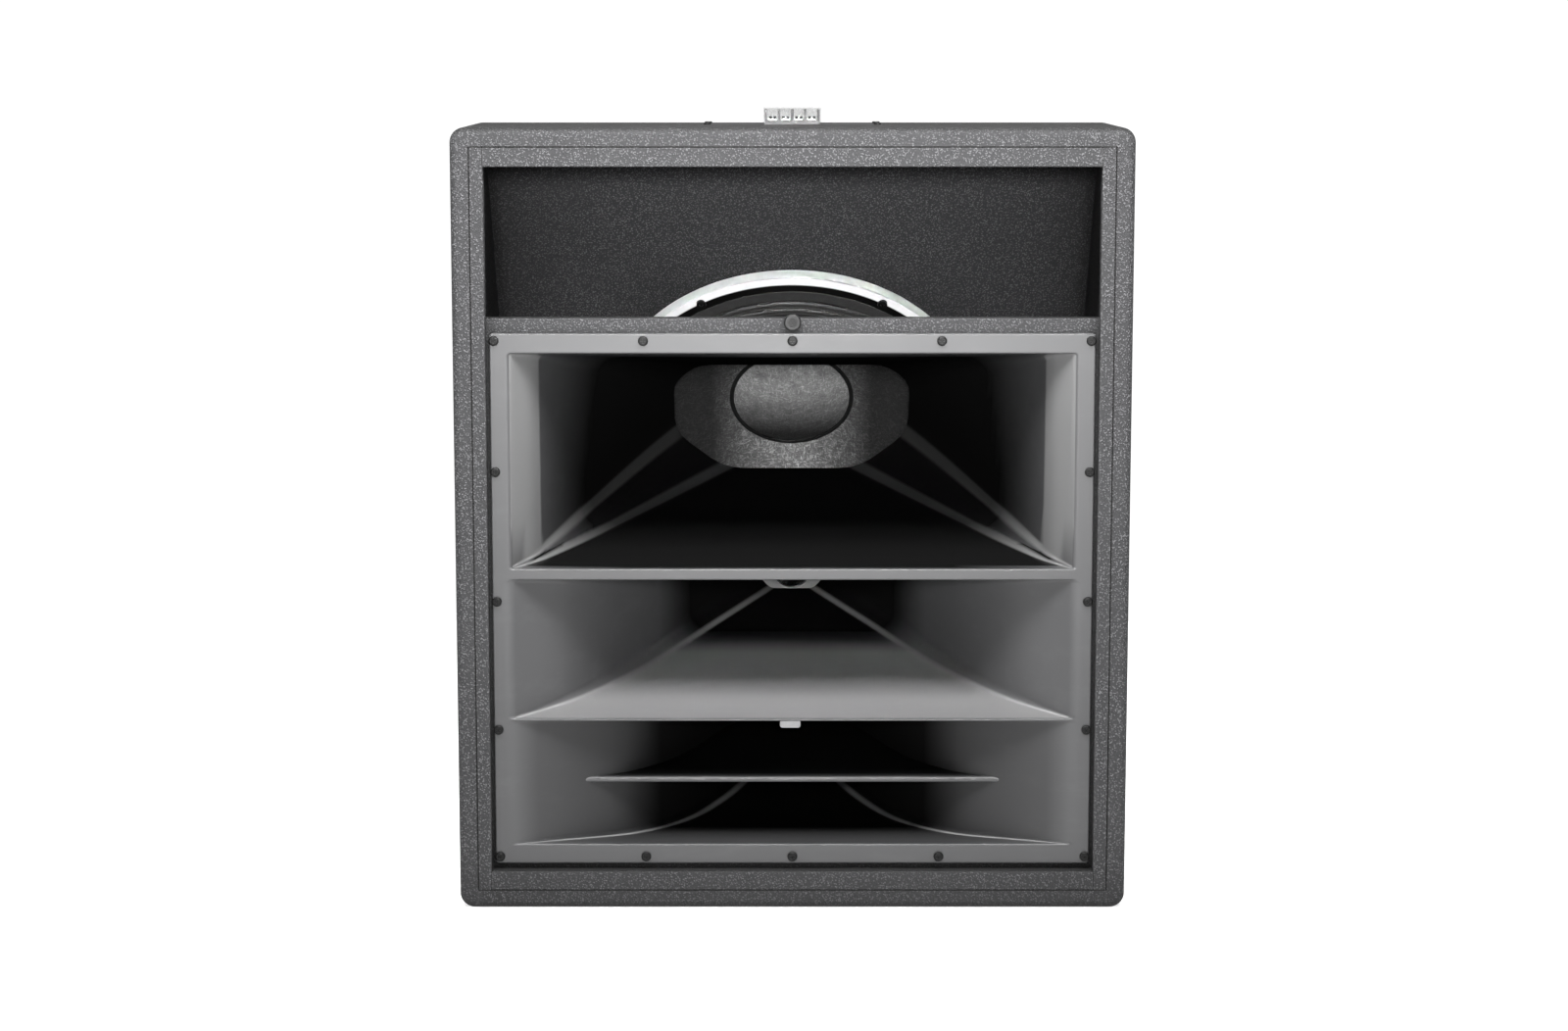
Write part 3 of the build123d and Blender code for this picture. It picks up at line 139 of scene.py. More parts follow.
class WooferSettings(bpy.types.PropertyGroup):
    """Sizes of the woofer's moving parts."""

    lean: FloatProperty(
        name="Lean", description="Lean of the baffle", default=radians(36), subtype="ANGLE"
    )
    seat: size("Gasket", "From the baffle's face to the middle of the gasket", 14.0 * MM)
    landing: size("Landing", "From the baffle's face to the front of the cone's rim", 12.0 * MM)
    cone: size("Cone", "Radius of the cone", 146.3 * MM)
    rim: size("Cone rim", "Flat rim of the cone", 6.0 * MM)
    neck: size("Neck", "Radius of the cone's neck", 51.5 * MM)
    neck_drop: size("Neck drop", "From the cone's edge back to its neck", 36.0 * MM)
    wall: size("Cone wall", "Thickness of the cone", 1.4 * MM)
    cap: size("Cap", "Radius of the dust cap", 63.0 * MM)
    cap_rise: size("Cap rise", "Height of the dust cap's dome", 17.0 * MM)
    glue: size("Glue bead", "Radius of the glue bead round the cap", 2.1 * MM)
    roll: size("Surround", "Thickness of the surround", 1.0 * MM)
    surround_in: size("Surround bore", "Inner radius of the frame's landing", 163.5 * MM)
    surround_out: size("Surround edge", "Outer radius of the surround", 176.5 * MM)


class FinishSettings(bpy.types.PropertyGroup):
    """Colours of the finishes."""

    coating: tint("Coating", "Textured coating of the cabinet", (0.02, 0.02, 0.021))
    coating_fleck: tint("Coating fleck", "Raised grains of the coating", (0.085, 0.085, 0.088))
    moulding: tint("Moulding", "Satin horn moulding", (0.028, 0.028, 0.029))
    paper: tint("Paper", "Pressed paper cone", (0.06, 0.06, 0.06))
    fibre: tint("Fibre", "Pale fibres in the paper", (0.30, 0.30, 0.30))
    cast: tint("Cast frame", "Cast frame of the woofer", (0.80, 0.80, 0.81))


class StageSettings(bpy.types.PropertyGroup):
    """Floor, lights and camera."""

    floor: tint("Floor", "Colour of the floor", (0.6, 0.6, 0.6))
    key: power("Key light", "The high front light", 82.0)
    fill: power("Fill light", "The narrow light from the camera's side", 4.6)
    side: power("Side light", "Each side light", 3.0)
    wash: power("Floor light", "The light over the floor", 20.0)
    room: FloatProperty(name="Room", description="Strength of the room's own light", default=0.3)
    lens: FloatProperty(
        name="Lens", description="Focal length of the camera", default=73.8, unit="CAMERA"
    )
    distance: size("Distance", "From the camera to the cabinet's front", 3.009)
    rise: size("Rise", "From the cabinet's top up to the camera", 76.0 * MM)
    tilt: FloatProperty(
        name="Tilt", description="Tilt of the camera", default=radians(81.67), subtype="ANGLE"
    )


# ---------------------------------------------------------------- mesh helpers


def finish_mesh(name, mesh, body, *replaced, slot=None, sharp=35):
    """Turns a bmesh into a shaded object that rides on a CAD body."""
    bmesh.ops.recalc_face_normals(mesh, faces=mesh.faces)
    data = bpy.data.meshes.new(name)
    mesh.to_mesh(data)
    mesh.free()
    data.shade_smooth()
    data.set_sharp_from_angle(angle=radians(sharp))
    piece = bpy.data.objects.new(name, data)
    bpy.context.scene.collection.objects.link(piece)
    if body:
        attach(piece, body)
    if replaced:
        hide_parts(*replaced)
    return piece


def clamp(value):
    """value, held between 0 and 1."""
    return min(1.0, max(0.0, value))


def ring(mesh, points, crease=None, corners=(), painted_highlight=1.0):
    """A closed loop of new vertices; crease stores the painted highlight on the ones at the given
    corners.
    """
    loop = [mesh.verts.new(p) for p in points]
    for corner in corners:
        for step, share in enumerate(CREASE_SHARES):
            loop[corner * CORNER_SPAN + step][crease] = share * painted_highlight
    return loop


def skin(mesh, first, second):
    """Quads between two closed loops of the same length."""
    count = len(first)
    for i in range(count):
        j = (i + 1) % count
        mesh.faces.new((first[i], first[j], second[j], second[i]))


def loop_edges(mesh, loop):
    """The edges of a closed loop, made where they are missing."""
    edges = []
    for i, vert in enumerate(loop):
        other = loop[(i + 1) % len(loop)]
        edges.append(mesh.edges.get((vert, other)) or mesh.edges.new((vert, other)))
    return edges


def fill_between(mesh, outer, holes, normal):
    """Fills the flat area between a loop and the holes inside it."""
    edges = loop_edges(mesh, outer)
    for hole in holes:
        edges += loop_edges(mesh, hole)
    bmesh.ops.triangle_fill(mesh, use_beauty=True, edges=edges, normal=normal)


def smooth_curve(stations):
    """A function that runs smoothly through (place, values...) rows without overshooting."""
    places = [row[0] for row in stations]
    columns = list(zip(*[row[1:] for row in stations]))

    def slopes(values):
        steps = [
            (values[i + 1] - values[i]) / (places[i + 1] - places[i]) for i in range(len(places) - 1)
        ]
        inner = [
            0.0 if a * b <= 0 else 2 * a * b / (a + b) for a, b in zip(steps, steps[1:])
        ]
        return [steps[0], *inner, steps[-1]]

    tables = [(values, slopes(values)) for values in columns]

    def at(place):
        place = min(max(place, places[0]), places[-1])
        i = max(k for k in range(len(places) - 1) if places[k] <= place)
        span = places[i + 1] - places[i]
        t = (place - places[i]) / span
        made = []
        for values, slope in tables:
            made.append(
                (2 * t**3 - 3 * t**2 + 1) * values[i]
                + (t**3 - 2 * t**2 + t) * span * slope[i]
                + (3 * t**2 - 2 * t**3) * values[i + 1]
                + (t**3 - t**2) * span * slope[i + 1]
            )
        return made

    return at


CORNER_STEPS = 4
EDGE_STEPS = 5
CORNER_SPAN = CORNER_STEPS + EDGE_STEPS - 1
# Corners whose creases get a painted highlight, and its strength across each corner's points.
LOWER_CORNERS = (3, 4, 5, 6)
FLOOR_CORNERS = (4, 5)
CREASE_SHARES = (0.6, 1.0, 1.0, 0.6)
ROLL_STEPS = 7
HORN_STEPS = 34
SUPPORT = 0.6 * MM  # from a rounding to the flat loop beside it
MOUTH_CUT = 1.5 * MM  # cut at a mouth's corners
SIDE_GROWTH = 2.5  # how much thicker the side walls' outline grows than the others
CUT_GROWTH = 0.6
LONGEST_SOFTENING = 0.42  # of the shorter edge beside a corner


def outline(half, top, bottom, cut, low_cut, soft):
    """A rectangle with its corners cut off and the creases rounded, as (x, z) points."""
    corners = [
        Vector(p)
        for p in (
            (-half + cut, top),
            (half - cut, top),
            (half, top - cut),
            (half, bottom + low_cut),
            (half - low_cut, bottom),
            (-half + low_cut, bottom),
            (-half, bottom + low_cut),
            (-half, top - cut),
        )
    ]
    count = len(corners)
    points = []
    for i, corner in enumerate(corners):
        before = corners[i - 1] - corner
        after = corners[(i + 1) % count] - corner
        reach = min(soft, LONGEST_SOFTENING * before.length, LONGEST_SOFTENING * after.length)
        start = corner + before.normalized() * reach
        end = corner + after.normalized() * reach
        for k in range(CORNER_STEPS):
            t = k / (CORNER_STEPS - 1)
            points.append(start.lerp(corner, t).lerp(corner.lerp(end, t), t))
        following = corners[(i + 1) % count]
        reach_next = min(soft, LONGEST_SOFTENING * after.length)
        turn = following + (corner - following).normalized() * reach_next
        for k in range(1, EDGE_STEPS):
            points.append(end.lerp(turn, k / EDGE_STEPS))
    return points


# ---------------------------------------------------------------- horn shapes


def horn_numbers():
    """Heights and half widths of the three mouths, from the flange's box and the settings."""
    s = bpy.context.scene.horn_settings
    top = FLANGE_HIGH.z - s.end
    low = top - s.top_mouth
    middle_top = low - s.divider
    middle_low = middle_top - s.middle_mouth
    bottom_top = middle_low - s.lip
    bottom_low = FLANGE_LOW.z + s.end
    return {
        "half": FLANGE_HIGH.x - s.side,
        "top": (top, low),
        "middle": (middle_top, middle_low),
        "bottom": (bottom_top, bottom_low),
    }


MIDDLE_ROWS = (
    (50, 214, -1.7, 10.8, 6),
    (122, 152, -4.6, 30.1, 10),
    (218, 91, -8.5, 56.0, 14),
    (300, 32, -11.8, 78.0, 10),
)
BOTTOM_ROWS = (
    (24, 222, -1.0, 0.5, 3),
    (46, 160, -4.0, 1.0, 4),
    (90, 112, -14.0, 3.0, 6),
    (150, 79, -28.0, 9.0, 8),
    (262, 25, -46.9, 34.0, 8),
)


def stations(key):
    """Depth, half width, top, bottom and corner cut along the middle or the bottom horn.

    The rows give them in millimetres, the top and the bottom from the mouth's own edges.
    """
    numbers = horn_numbers()
    top, low = numbers[key]
    made = [(FACE - FRONT, numbers["half"], top, low, MOUTH_CUT)]
    for depth, half, drop, lift, corner in MIDDLE_ROWS if key == "middle" else BOTTOM_ROWS:
        made.append((depth * MM, half * MM, top + drop * MM, low + lift * MM, corner * MM))
    return made


def straight_section(curve, depth, grow, soft):
    """An upright section of the middle or the bottom horn, as 3-D points."""
    half, top, bottom, cut = curve(depth)
    cut += CUT_GROWTH * grow
    flat = outline(half + SIDE_GROWTH * grow, top + grow, bottom - grow, cut, cut, soft)
    return [Vector((x, FRONT + depth, z)) for x, z in flat]


def woofer_axes():
    """Centre of the woofer on the baffle's face, the way it faces, and up along the baffle."""
    lean = bpy.context.scene.woofer_settings.lean
    facing = Vector((0, -cos(lean), -sin(lean)))
    up = Vector((0, -sin(lean), cos(lean)))
    middle = (GASKET_LOW + GASKET_HIGH) / 2
    return middle - facing * bpy.context.scene.woofer_settings.seat, facing, up


TOP_CUTS = smooth_curve(((0.0, 1.5, 1.5), (0.25, 8.0, 14.0), (0.55, 15.0, 29.0), (1.0, 25.0, 52.0)))
THROAT_HALF = 123 * MM
THROAT_HEIGHT = 147.5 * MM
THROAT_RAISE = 14 * MM
THROAT_STANDOFF = 26 * MM
THROAT_SOFTNESS = 16 * MM
FLARE = 0.06  # how far the top mouth's side walls draw in over its first twelfth


def top_section(share, grow, soft):
    """A section of the top horn, from its mouth, 0, to the throat that leans with the woofer, 1."""
    numbers = horn_numbers()
    centre, facing, up = woofer_axes()
    lean = bpy.context.scene.woofer_settings.lean
    throat = centre + facing * THROAT_STANDOFF + up * THROAT_RAISE
    top, low = numbers["top"]
    start = Vector((0, FACE, (top + low) / 2))
    middle = start.lerp(throat, share)
    tilt = lean * share
    rise = Vector((0, -sin(tilt), cos(tilt)))
    flare = share + FLARE * (1 - share) * min(1, share * 12)
    half = numbers["half"] + (THROAT_HALF - numbers["half"]) * flare + grow
    high = ((top - low) + (THROAT_HEIGHT - (top - low)) * share) / 2 + grow
    cut, low_cut = (c * MM + CUT_GROWTH * grow for c in TOP_CUTS(share))
    flat = outline(half, high, -high, cut, low_cut, soft + THROAT_SOFTNESS * share)
    return [middle + Vector((x, 0, 0)) + rise * z for x, z in flat]


def mouth_rounding(face, wall, reach, depth):
    """Loops that bend the flange's face smoothly into a mouth's walls.

    face and wall hold the mouth's half width, top and bottom at the flange's face and at depth;
    reach is how far out of the mouth the bend starts at the sides, the top and the bottom.
    """
    outward = (reach[0], reach[1], -reach[2])
    support = 1 + SUPPORT / max(reach)
    loops = []
    for turn in (None, *range(ROLL_STEPS)):
        t = 0.0 if turn is None else turn / ROLL_STEPS
        far = support if turn is None else 1.0
        sizes = [
            (at_face + out * far) * (1 - t) ** 2 + 2 * t * (1 - t) * at_face + t * t * at_wall
            for at_face, at_wall, out in zip(face, wall, outward)
        ]
        grown = (1 - t) ** 2 * max(reach)
        cut = MOUTH_CUT + 0.5 * grown
        flat = outline(*sizes, cut, cut, 1.2 * MM)
        loops.append([Vector((x, FACE + depth * t * t, z)) for x, z in flat])
    return loops


ROLLS = {  # reach at the sides, the top and the bottom, and depth, of each mouth's rounding
    "top": ((3.0 * MM, 1.4 * MM, 1.4 * MM), 2.2 * MM),
    "middle": ((7.5 * MM, 1.4 * MM, 0.75 * MM), 3.0 * MM),
    "bottom": ((7.5 * MM, 0.75 * MM, 1.6 * MM), 2.4 * MM),
}


def horn_walls(key, deep):
    """The inner and the outer loops of a horn's wall, from deep behind the face to the throat."""
    s = bpy.context.scene.horn_settings
    inner, outer = [], []
    if key == "top":
        first = deep / 0.35
        for i in range(HORN_STEPS + 1):
            share = first + (1 - first) * (i / HORN_STEPS) ** 1.25
            wall = min(s.thickest, s.thinnest + 0.04 * share)
            inner.append(top_section(share, 0, s.crease))
            outer.append(top_section(share, wall, s.crease))
        return inner, outer
    rows = stations(key)
    curve = smooth_curve(rows)
    mouth, throat = rows[0][0], rows[-1][0]
    start = mouth + deep
    for i in range(HORN_STEPS + 1):
        depth = start + (throat - start) * (i / HORN_STEPS) ** 1.4
        soft = min(s.crease, 0.3 * MM + 0.12 * (depth - mouth))
        wall = min(s.thickest, s.thinnest + 0.05 * (depth - start))
        inner.append(straight_section(curve, depth, 0, soft))
        outer.append(straight_section(curve, depth, wall, soft))
    return inner, outer


def behind_flange(outer):
    """The outer loops behind the flange, with one more where they leave its back."""
    back = FLANGE_HIGH.y
    keep = [loop for loop in outer if min(p.y for p in loop) > back + 0.5 * MM]
    before = outer[len(outer) - len(keep) - 1]
    first = [a.lerp(b, (back - a.y) / (b.y - a.y)) for a, b in zip(before, keep[0])]
    return [first] + keep


def horn_skin(mesh, key, crease):
    """Skins one horn, and gives its loops in the flange's face and in the flange's back."""
    numbers = horn_numbers()
    reach, deep = ROLLS[key]
    inner, outer = horn_walls(key, deep)
    wall = [f(p[axis] for p in inner[0]) for f, axis in ((max, 0), (max, 2), (min, 2))]
    rings = [
        ring(mesh, loop)
        for loop in mouth_rounding((numbers["half"], *numbers[key]), wall, reach, deep)
    ]
    corners = LOWER_CORNERS if key == "top" else FLOOR_CORNERS
    # The painted highlight on the creases fades towards the throat.
    fade = 0.42 if key == "top" else 0.15
    for i, loop in enumerate(inner):
        painted_highlight = 1 - fade * min(1, 2 * i / HORN_STEPS)
        rings.append(ring(mesh, loop, crease, corners, painted_highlight))
    rings += [ring(mesh, loop) for loop in behind_flange(outer)[::-1]]
    for one, two in zip(rings, rings[1:]):
        skin(mesh, one, two)
    return rings[0], rings[-1]


def flange_skin(mesh):
    """Skins the flange's outer edge, and gives its loops in the face and in the back."""
    s = bpy.context.scene.horn_settings
    middle = (FLANGE_LOW.z + FLANGE_HIGH.z) / 2
    rise = (FLANGE_HIGH.z - FLANGE_LOW.z) / 2
    steps = 5
    profile = [(s.edge + SUPPORT, 0)]
    for i in range(steps + 1):
        a = pi / 2 * i / steps
        profile.append((s.edge * (1 - sin(a)), s.edge * (1 - cos(a))))
    profile.append((0, FLANGE_HIGH.y - FACE))
    loops = []
    for inset, depth in profile:
        sizes = (FLANGE_HIGH.x - inset, rise - inset, -rise + inset)
        flat = outline(*sizes, s.corner, s.corner, 1.5 * MM)
        loops.append(ring(mesh, [(x, FACE + depth, middle + z) for x, z in flat]))
    for one, two in zip(loops, loops[1:]):
        skin(mesh, one, two)
    return loops[0], loops[-1]


LIT = {"top": 22 * MM, "middle": 140 * MM}  # how deep a horn's walls stay free of the painted shade
FADE = {"top": 120 * MM, "middle": 45 * MM, "bottom": 85 * MM}  # how far past that the painted shade reaches its darkest
FLOOR_HIGHLIGHT_DEPTH = 140 * MM  # how deep the painted highlight on the middle horn's floor reaches
FLOOR_HIGHLIGHT_FADE = 30 * MM
SIDE_HIGHLIGHT_BAND = 28 * MM  # painted highlight band on the top mouth's side walls


def inside_shade(x, depth, z, numbers):
    """How much painted shade the moulding gets at a point: 0 on the flange, 1 deep in a horn."""
    top_low = numbers["top"][1]
    if z > top_low - 4 * MM:
        wall = clamp((depth - LIT["top"]) / FADE["top"])
        floor_top = top_low + 2 * MM + depth * 0.15
        floor_half = numbers["half"] - 6 * MM - depth * 0.46
        if z < floor_top and abs(x) < floor_half:
            return max(wall, clamp(depth / (3 * MM)))
        return wall
    if z > numbers["middle"][1] - 1 * MM:
        return clamp((depth - LIT["middle"]) / FADE["middle"])
    return clamp(0.3 * clamp(depth / (6 * MM)) + depth / FADE["bottom"])


def paint_moulding(piece):
    """Stores the painted shade and the painted highlights (creases, middle floor, top mouth's side
    walls) at each point of the horn front, for its finish.
    """
    numbers = horn_numbers()
    shade = piece.data.attributes.new("inside", "FLOAT", "POINT")
    painted_highlight = piece.data.attributes["crease"]
    floor_of = smooth_curve(stations("middle"))
    values = []
    for vert in piece.data.vertices:
        x, y, z = vert.co
        deep = y - FACE
        mark = painted_highlight.data[vert.index]
        # Painted highlight along the middle horn's floor, fading out deeper in.
        if abs(z - floor_of(y - FRONT)[2]) < 1.5 * MM and deep > 2 * MM:
            glow = 0.85 + 0.15 * clamp(deep / (80 * MM))
            mark.value = max(mark.value, glow - 0.5 * max(0.0, deep - FLOOR_HIGHLIGHT_DEPTH) / FLOOR_HIGHLIGHT_FADE)
        # Painted highlight band on the top mouth's side walls.
        in_top_horn = z > numbers["top"][1] + 8 * MM and deep > 1 * MM
        if in_top_horn and abs(x) > numbers["half"] - SIDE_HIGHLIGHT_BAND:
            mark.value = max(mark.value, 0.85)
        # Painted shade, darker deeper in the horns.
        values.append(inside_shade(x, max(0.0, deep - 1 * MM), z, numbers))
    shade.data.foreach_set("value", values)


# ---------------------------------------------------------------- material helpers


class Finish:
    """A Principled material whose procedural nodes are added one after another."""

    def __init__(self, name, colour, roughness, metal=0.0, **sockets):
        self.material = bpy.data.materials.new("finish_" + name)
        self.material.use_nodes = True
        self.tree = self.material.node_tree
        self.shader = self.tree.nodes["Principled BSDF"]
        self.colour = (*colour, 1)
        self.shader.inputs["Base Color"].default_value = (*colour, 1)
        self.shader.inputs["Roughness"].default_value = roughness
        self.shader.inputs["Metallic"].default_value = metal
        for key, value in sockets.items():
            self.shader.inputs[key.replace("_", " ")].default_value = value
        self.place = self.tree.nodes.new("ShaderNodeTexCoord").outputs["Object"]
        self.relief = None

    def node(self, kind, links=None, **values):
        """A node with some sockets linked and others set."""
        made = self.tree.nodes.new("ShaderNode" + kind)
        for key, value in values.items():
            if key in made.inputs:
                made.inputs[key].default_value = value
            else:
                setattr(made, key, value)
        for key, source in (links or {}).items():
            self.tree.links.new(source, made.inputs[key])
        return made

    def noise(self, grain, detail=3.0, rough=0.55, stretch=None, twist=0.0):
        """Noise whose features measure about grain metres."""
        source = self.place
        if stretch:
            source = self.node("Mapping", {"Vector": source}, Scale=stretch).outputs["Vector"]
        made = self.node(
            "TexNoise",
            {"Vector": source},
            Scale=1 / grain,
            Detail=detail,
            Roughness=rough,
            Distortion=twist,
        )
        return made.outputs["Fac"]

    def grains(self, grain, smooth=0.6):
        """Rounded grains of about grain metres, 1 in their middle and 0 between them."""
        made = self.node("TexVoronoi", {"Vector": self.place}, Scale=1 / grain)
        made.feature = "SMOOTH_F1"
        made.inputs["Smoothness"].default_value = smooth
        return self.ramp(made.outputs["Distance"], 0.55, 0.05)

    def ramp(self, source, start, end, low=0.0, high=1.0):
        """Maps source from start..end to low..high, without going past them."""
        made = self.node("MapRange", {"Value": source})
        for key, value in zip(("From Min", "From Max", "To Min", "To Max"), (start, end, low, high)):
            made.inputs[key].default_value = value
        return made.outputs["Result"]

    def both(self, first, second, operation="MULTIPLY"):
        """The product of two masks, or what else the operation makes of them."""
        made = self.node("Math", operation=operation)
        self.tree.links.new(first, made.inputs[0])
        self.tree.links.new(second, made.inputs[1])
        return made.outputs[0]

    def attribute(self, name):
        """A value that the mesh stores at each point."""
        return self.node("Attribute", attribute_name=name).outputs["Fac"]

    def edges(self, radius):
        """1 on edges that hands and cases rub, 0 on flat faces."""
        bevel = self.node("Bevel", Radius=radius, samples=4)
        geometry = self.node("NewGeometry")
        made = self.node("VectorMath", operation="DOT_PRODUCT")
        self.tree.links.new(bevel.outputs[0], made.inputs[0])
        self.tree.links.new(geometry.outputs["Normal"], made.inputs[1])
        return self.ramp(made.outputs["Value"], 0.98, 0.8)

    def stain(self, mask, colour):
        """Blends colour over what is there, by mask."""
        mix = self.node("Mix", data_type="RGBA")
        self.tree.links.new(mask, mix.inputs["Factor"])
        if isinstance(self.colour, tuple):
            mix.inputs["A"].default_value = self.colour
        else:
            self.tree.links.new(self.colour, mix.inputs["A"])
        mix.inputs["B"].default_value = (*colour, 1)
        self.colour = mix.outputs["Result"]
        self.tree.links.new(self.colour, self.shader.inputs["Base Color"])
        return self

    def gloss(self, mask, low, high):
        """Roughness from low to high, by mask."""
        self.tree.links.new(self.ramp(mask, 0, 1, low, high), self.shader.inputs["Roughness"])
        return self

    def bump(self, height, depth, strength=1.0):
        """Raises the surface by about depth metres where height is 1."""
        made = self.node("Bump", {"Height": height}, Strength=strength, Distance=depth)
        if self.relief:
            self.tree.links.new(self.relief, made.inputs["Normal"])
        self.relief = made.outputs["Normal"]
        self.tree.links.new(self.relief, self.shader.inputs["Normal"])
        return self


# ---------------------------------------------------------------- finishes


def joint_lines(f):
    """Where the cleats meet the panels' front edges."""
    spot = f.node("SeparateXYZ", {"Vector": f.place}).outputs
    side = f.node("Math", operation="ABSOLUTE")
    f.tree.links.new(spot["X"], side.inputs[0])
    reach = -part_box("left_cleat")[0].x
    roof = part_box("top_cleat")[1].z
    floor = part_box("bottom_cleat")[0].z
    soft = 0.8 * MM
    lines = None
    for value, line, other, start, end in (
        (side.outputs[0], reach, spot["Z"], floor, roof),
        (spot["Z"], floor, side.outputs[0], -1.0, reach),
        (spot["Z"], roof, side.outputs[0], -1.0, reach),
    ):
        away = f.node("Math", operation="COMPARE")
        f.tree.links.new(value, away.inputs[0])
        away.inputs[1].default_value = line
        away.inputs[2].default_value = 0.75 * MM
        past_start = f.ramp(other, start - soft, start)
        before_end = f.ramp(other, end, end + soft, 1, 0)
        mark = f.both(f.both(away.outputs[0], past_start), before_end)
        lines = f.both(lines, mark, "MAXIMUM") if lines else mark
    return f.both(lines, f.ramp(spot["Y"], FRONT + 0.5 * MM, FRONT + 1 * MM, 0.9, 0))


def textured_black_coating():
    """Rolled coating of fine raised grains, with painted shade in hollows and on faces that look up.
    """
    colours = bpy.context.scene.finish_settings
    f = Finish("textured_black_coating", colours.coating, 0.62, Specular_IOR_Level=0.22)
    fine = f.grains(1.9 * MM)
    coarse = f.noise(3.4 * MM, detail=4)
    cloud = f.noise(60 * MM, detail=3)
    pores = f.ramp(f.noise(0.9 * MM, detail=2), 0.62, 0.74)
    f.stain(f.ramp(f.both(fine, coarse), 0.12, 0.38, 0.0, 1.0), colours.coating_fleck)
    f.stain(f.ramp(pores, 0, 1, 0, 0.8), (0.006, 0.006, 0.006))
    f.stain(f.ramp(cloud, 0.35, 0.7, 0.0, 0.28), (0.02, 0.02, 0.021))
    f.stain(f.ramp(f.edges(2.5 * MM), 0, 1, 0, 0.3), (0.09, 0.09, 0.09))
    # Painted shade in hollows and corners.
    hollow = f.node("AmbientOcclusion", Distance=0.11, samples=4)
    f.stain(f.ramp(hollow.outputs["AO"], 0.8, 0.35, 0, 0.9), (0.003, 0.003, 0.003))
    # Painted shade on faces that look up.
    normal = f.node("NewGeometry").outputs["Normal"]
    upward = f.node("SeparateXYZ", {"Vector": normal}).outputs["Z"]
    f.stain(f.ramp(upward, 0.25, 0.8, 0, 0.8), (0.006, 0.006, 0.006))
    f.stain(joint_lines(f), (0.002, 0.002, 0.002))
    f.gloss(f.both(coarse, cloud), 0.85, 0.42)
    f.bump(fine, 0.6 * MM, 0.9).bump(coarse, 0.8 * MM, 0.7)


def satin_black_moulding():
    """Satin moulding with flow marks, a painted highlight on the creases and painted shade in the
    depths.
    """
    colours = bpy.context.scene.finish_settings
    f = Finish("satin_black_moulding", colours.moulding, 0.4, Specular_IOR_Level=0.55)
    flow = f.noise(70 * MM, detail=4, stretch=(1, 1, 0.35), twist=0.4)
    skin_grain = f.noise(0.7 * MM, detail=2)
    wipe = f.noise(22 * MM, detail=5, rough=0.65, stretch=(0.3, 1, 1))
    f.stain(f.ramp(flow, 0.4, 0.7, 0, 0.35), (0.024, 0.024, 0.025))
    f.stain(f.ramp(wipe, 0.55, 0.75, 0, 0.25), (0.05, 0.05, 0.051))
    f.stain(f.ramp(f.edges(1.2 * MM), 0, 1, 0, 0.5), (0.10, 0.10, 0.10))
    inside = f.attribute("inside")
    # Painted shade, near-black deep in the horns; the specular level drops with it.
    f.stain(inside, (0.003, 0.003, 0.003))
    # Painted highlight on the creases, the middle floor and the top mouth's side walls.
    f.stain(f.ramp(f.attribute("crease"), 0.5, 1, 0, 0.9), (0.11, 0.11, 0.11))
    f.tree.links.new(f.ramp(inside, 0, 1, 0.5, 0.0), f.shader.inputs["Specular IOR Level"])
    f.gloss(f.both(flow, wipe), 0.52, 0.34)
    f.bump(skin_grain, 0.03 * MM, 0.5).bump(flow, 0.6 * MM, 0.12)


def mottled(name, colour, roughness, grain, relief, rub, specular):
    """Moulded, painted, fired or rubber parts: mottled, grained and rubbed on their edges."""
    f = Finish(name, colour, roughness, Specular_IOR_Level=specular)
    cloud = f.noise(9 * MM, detail=4)
    fine = f.noise(grain, detail=3)
    f.stain(f.ramp(cloud, 0.4, 0.72, 0, 0.5), tuple(c * 1.7 for c in colour))
    f.stain(f.ramp(f.edges(0.5 * MM), 0, 1, 0, rub), tuple(min(1, c * 4 + 0.05) for c in colour))
    f.gloss(f.both(cloud, fine), roughness + 0.12, max(0.1, roughness - 0.2))
    f.bump(fine, relief, 0.6)


def metal(name, colour, roughness, brushed=(1, 1, 1)):
    """Bare or plated metal: brushed or cast, with duller patches and bright edges."""
    f = Finish(name, colour, roughness, metal=1.0)
    lines = f.noise(0.4 * MM, detail=4, rough=0.7, stretch=brushed)
    patches = f.noise(14 * MM, detail=5)
    f.stain(f.ramp(patches, 0.42, 0.75, 0, 0.35), tuple(c * 0.45 for c in colour))
    f.stain(f.ramp(f.edges(0.6 * MM), 0, 1, 0, 0.6), tuple(min(1, c * 1.25 + 0.08) for c in colour))
    f.gloss(f.both(lines, patches), max(0.12, roughness - 0.14), roughness + 0.25)
    f.bump(lines, 0.02 * MM, 0.6)


def painted_casting():
    """A black-painted casting whose outer rim is machined bright."""
    centre, facing, up = woofer_axes()
    f = Finish("cast_frame", tuple(bpy.context.scene.finish_settings.cast), 0.45, metal=1.0)
    lines = f.noise(0.8 * MM, detail=4, rough=0.7)
    patches = f.noise(14 * MM, detail=5)
    f.stain(f.ramp(patches, 0.42, 0.75, 0, 0.3), (0.5, 0.5, 0.5))
    offset = f.node("VectorMath", {"Vector": f.place}, operation="SUBTRACT")
    offset.inputs[1].default_value = centre
    flat = f.node("VectorMath", {"Vector": offset.outputs[0]}, operation="CROSS_PRODUCT")
    flat.inputs[1].default_value = facing
    radius = f.node("VectorMath", {"Vector": flat.outputs[0]}, operation="LENGTH").outputs["Value"]
    paint_end, rim_start = 185.5 * MM, 186.5 * MM
    f.stain(f.ramp(radius, paint_end, rim_start, 1, 0), (0.02, 0.02, 0.02))
    f.tree.links.new(f.ramp(radius, paint_end, rim_start, 1, 0.25), f.shader.inputs["Metallic"])
    f.gloss(f.both(lines, patches), 0.35, 0.62)
    f.bump(lines, 0.08 * MM, 0.6)


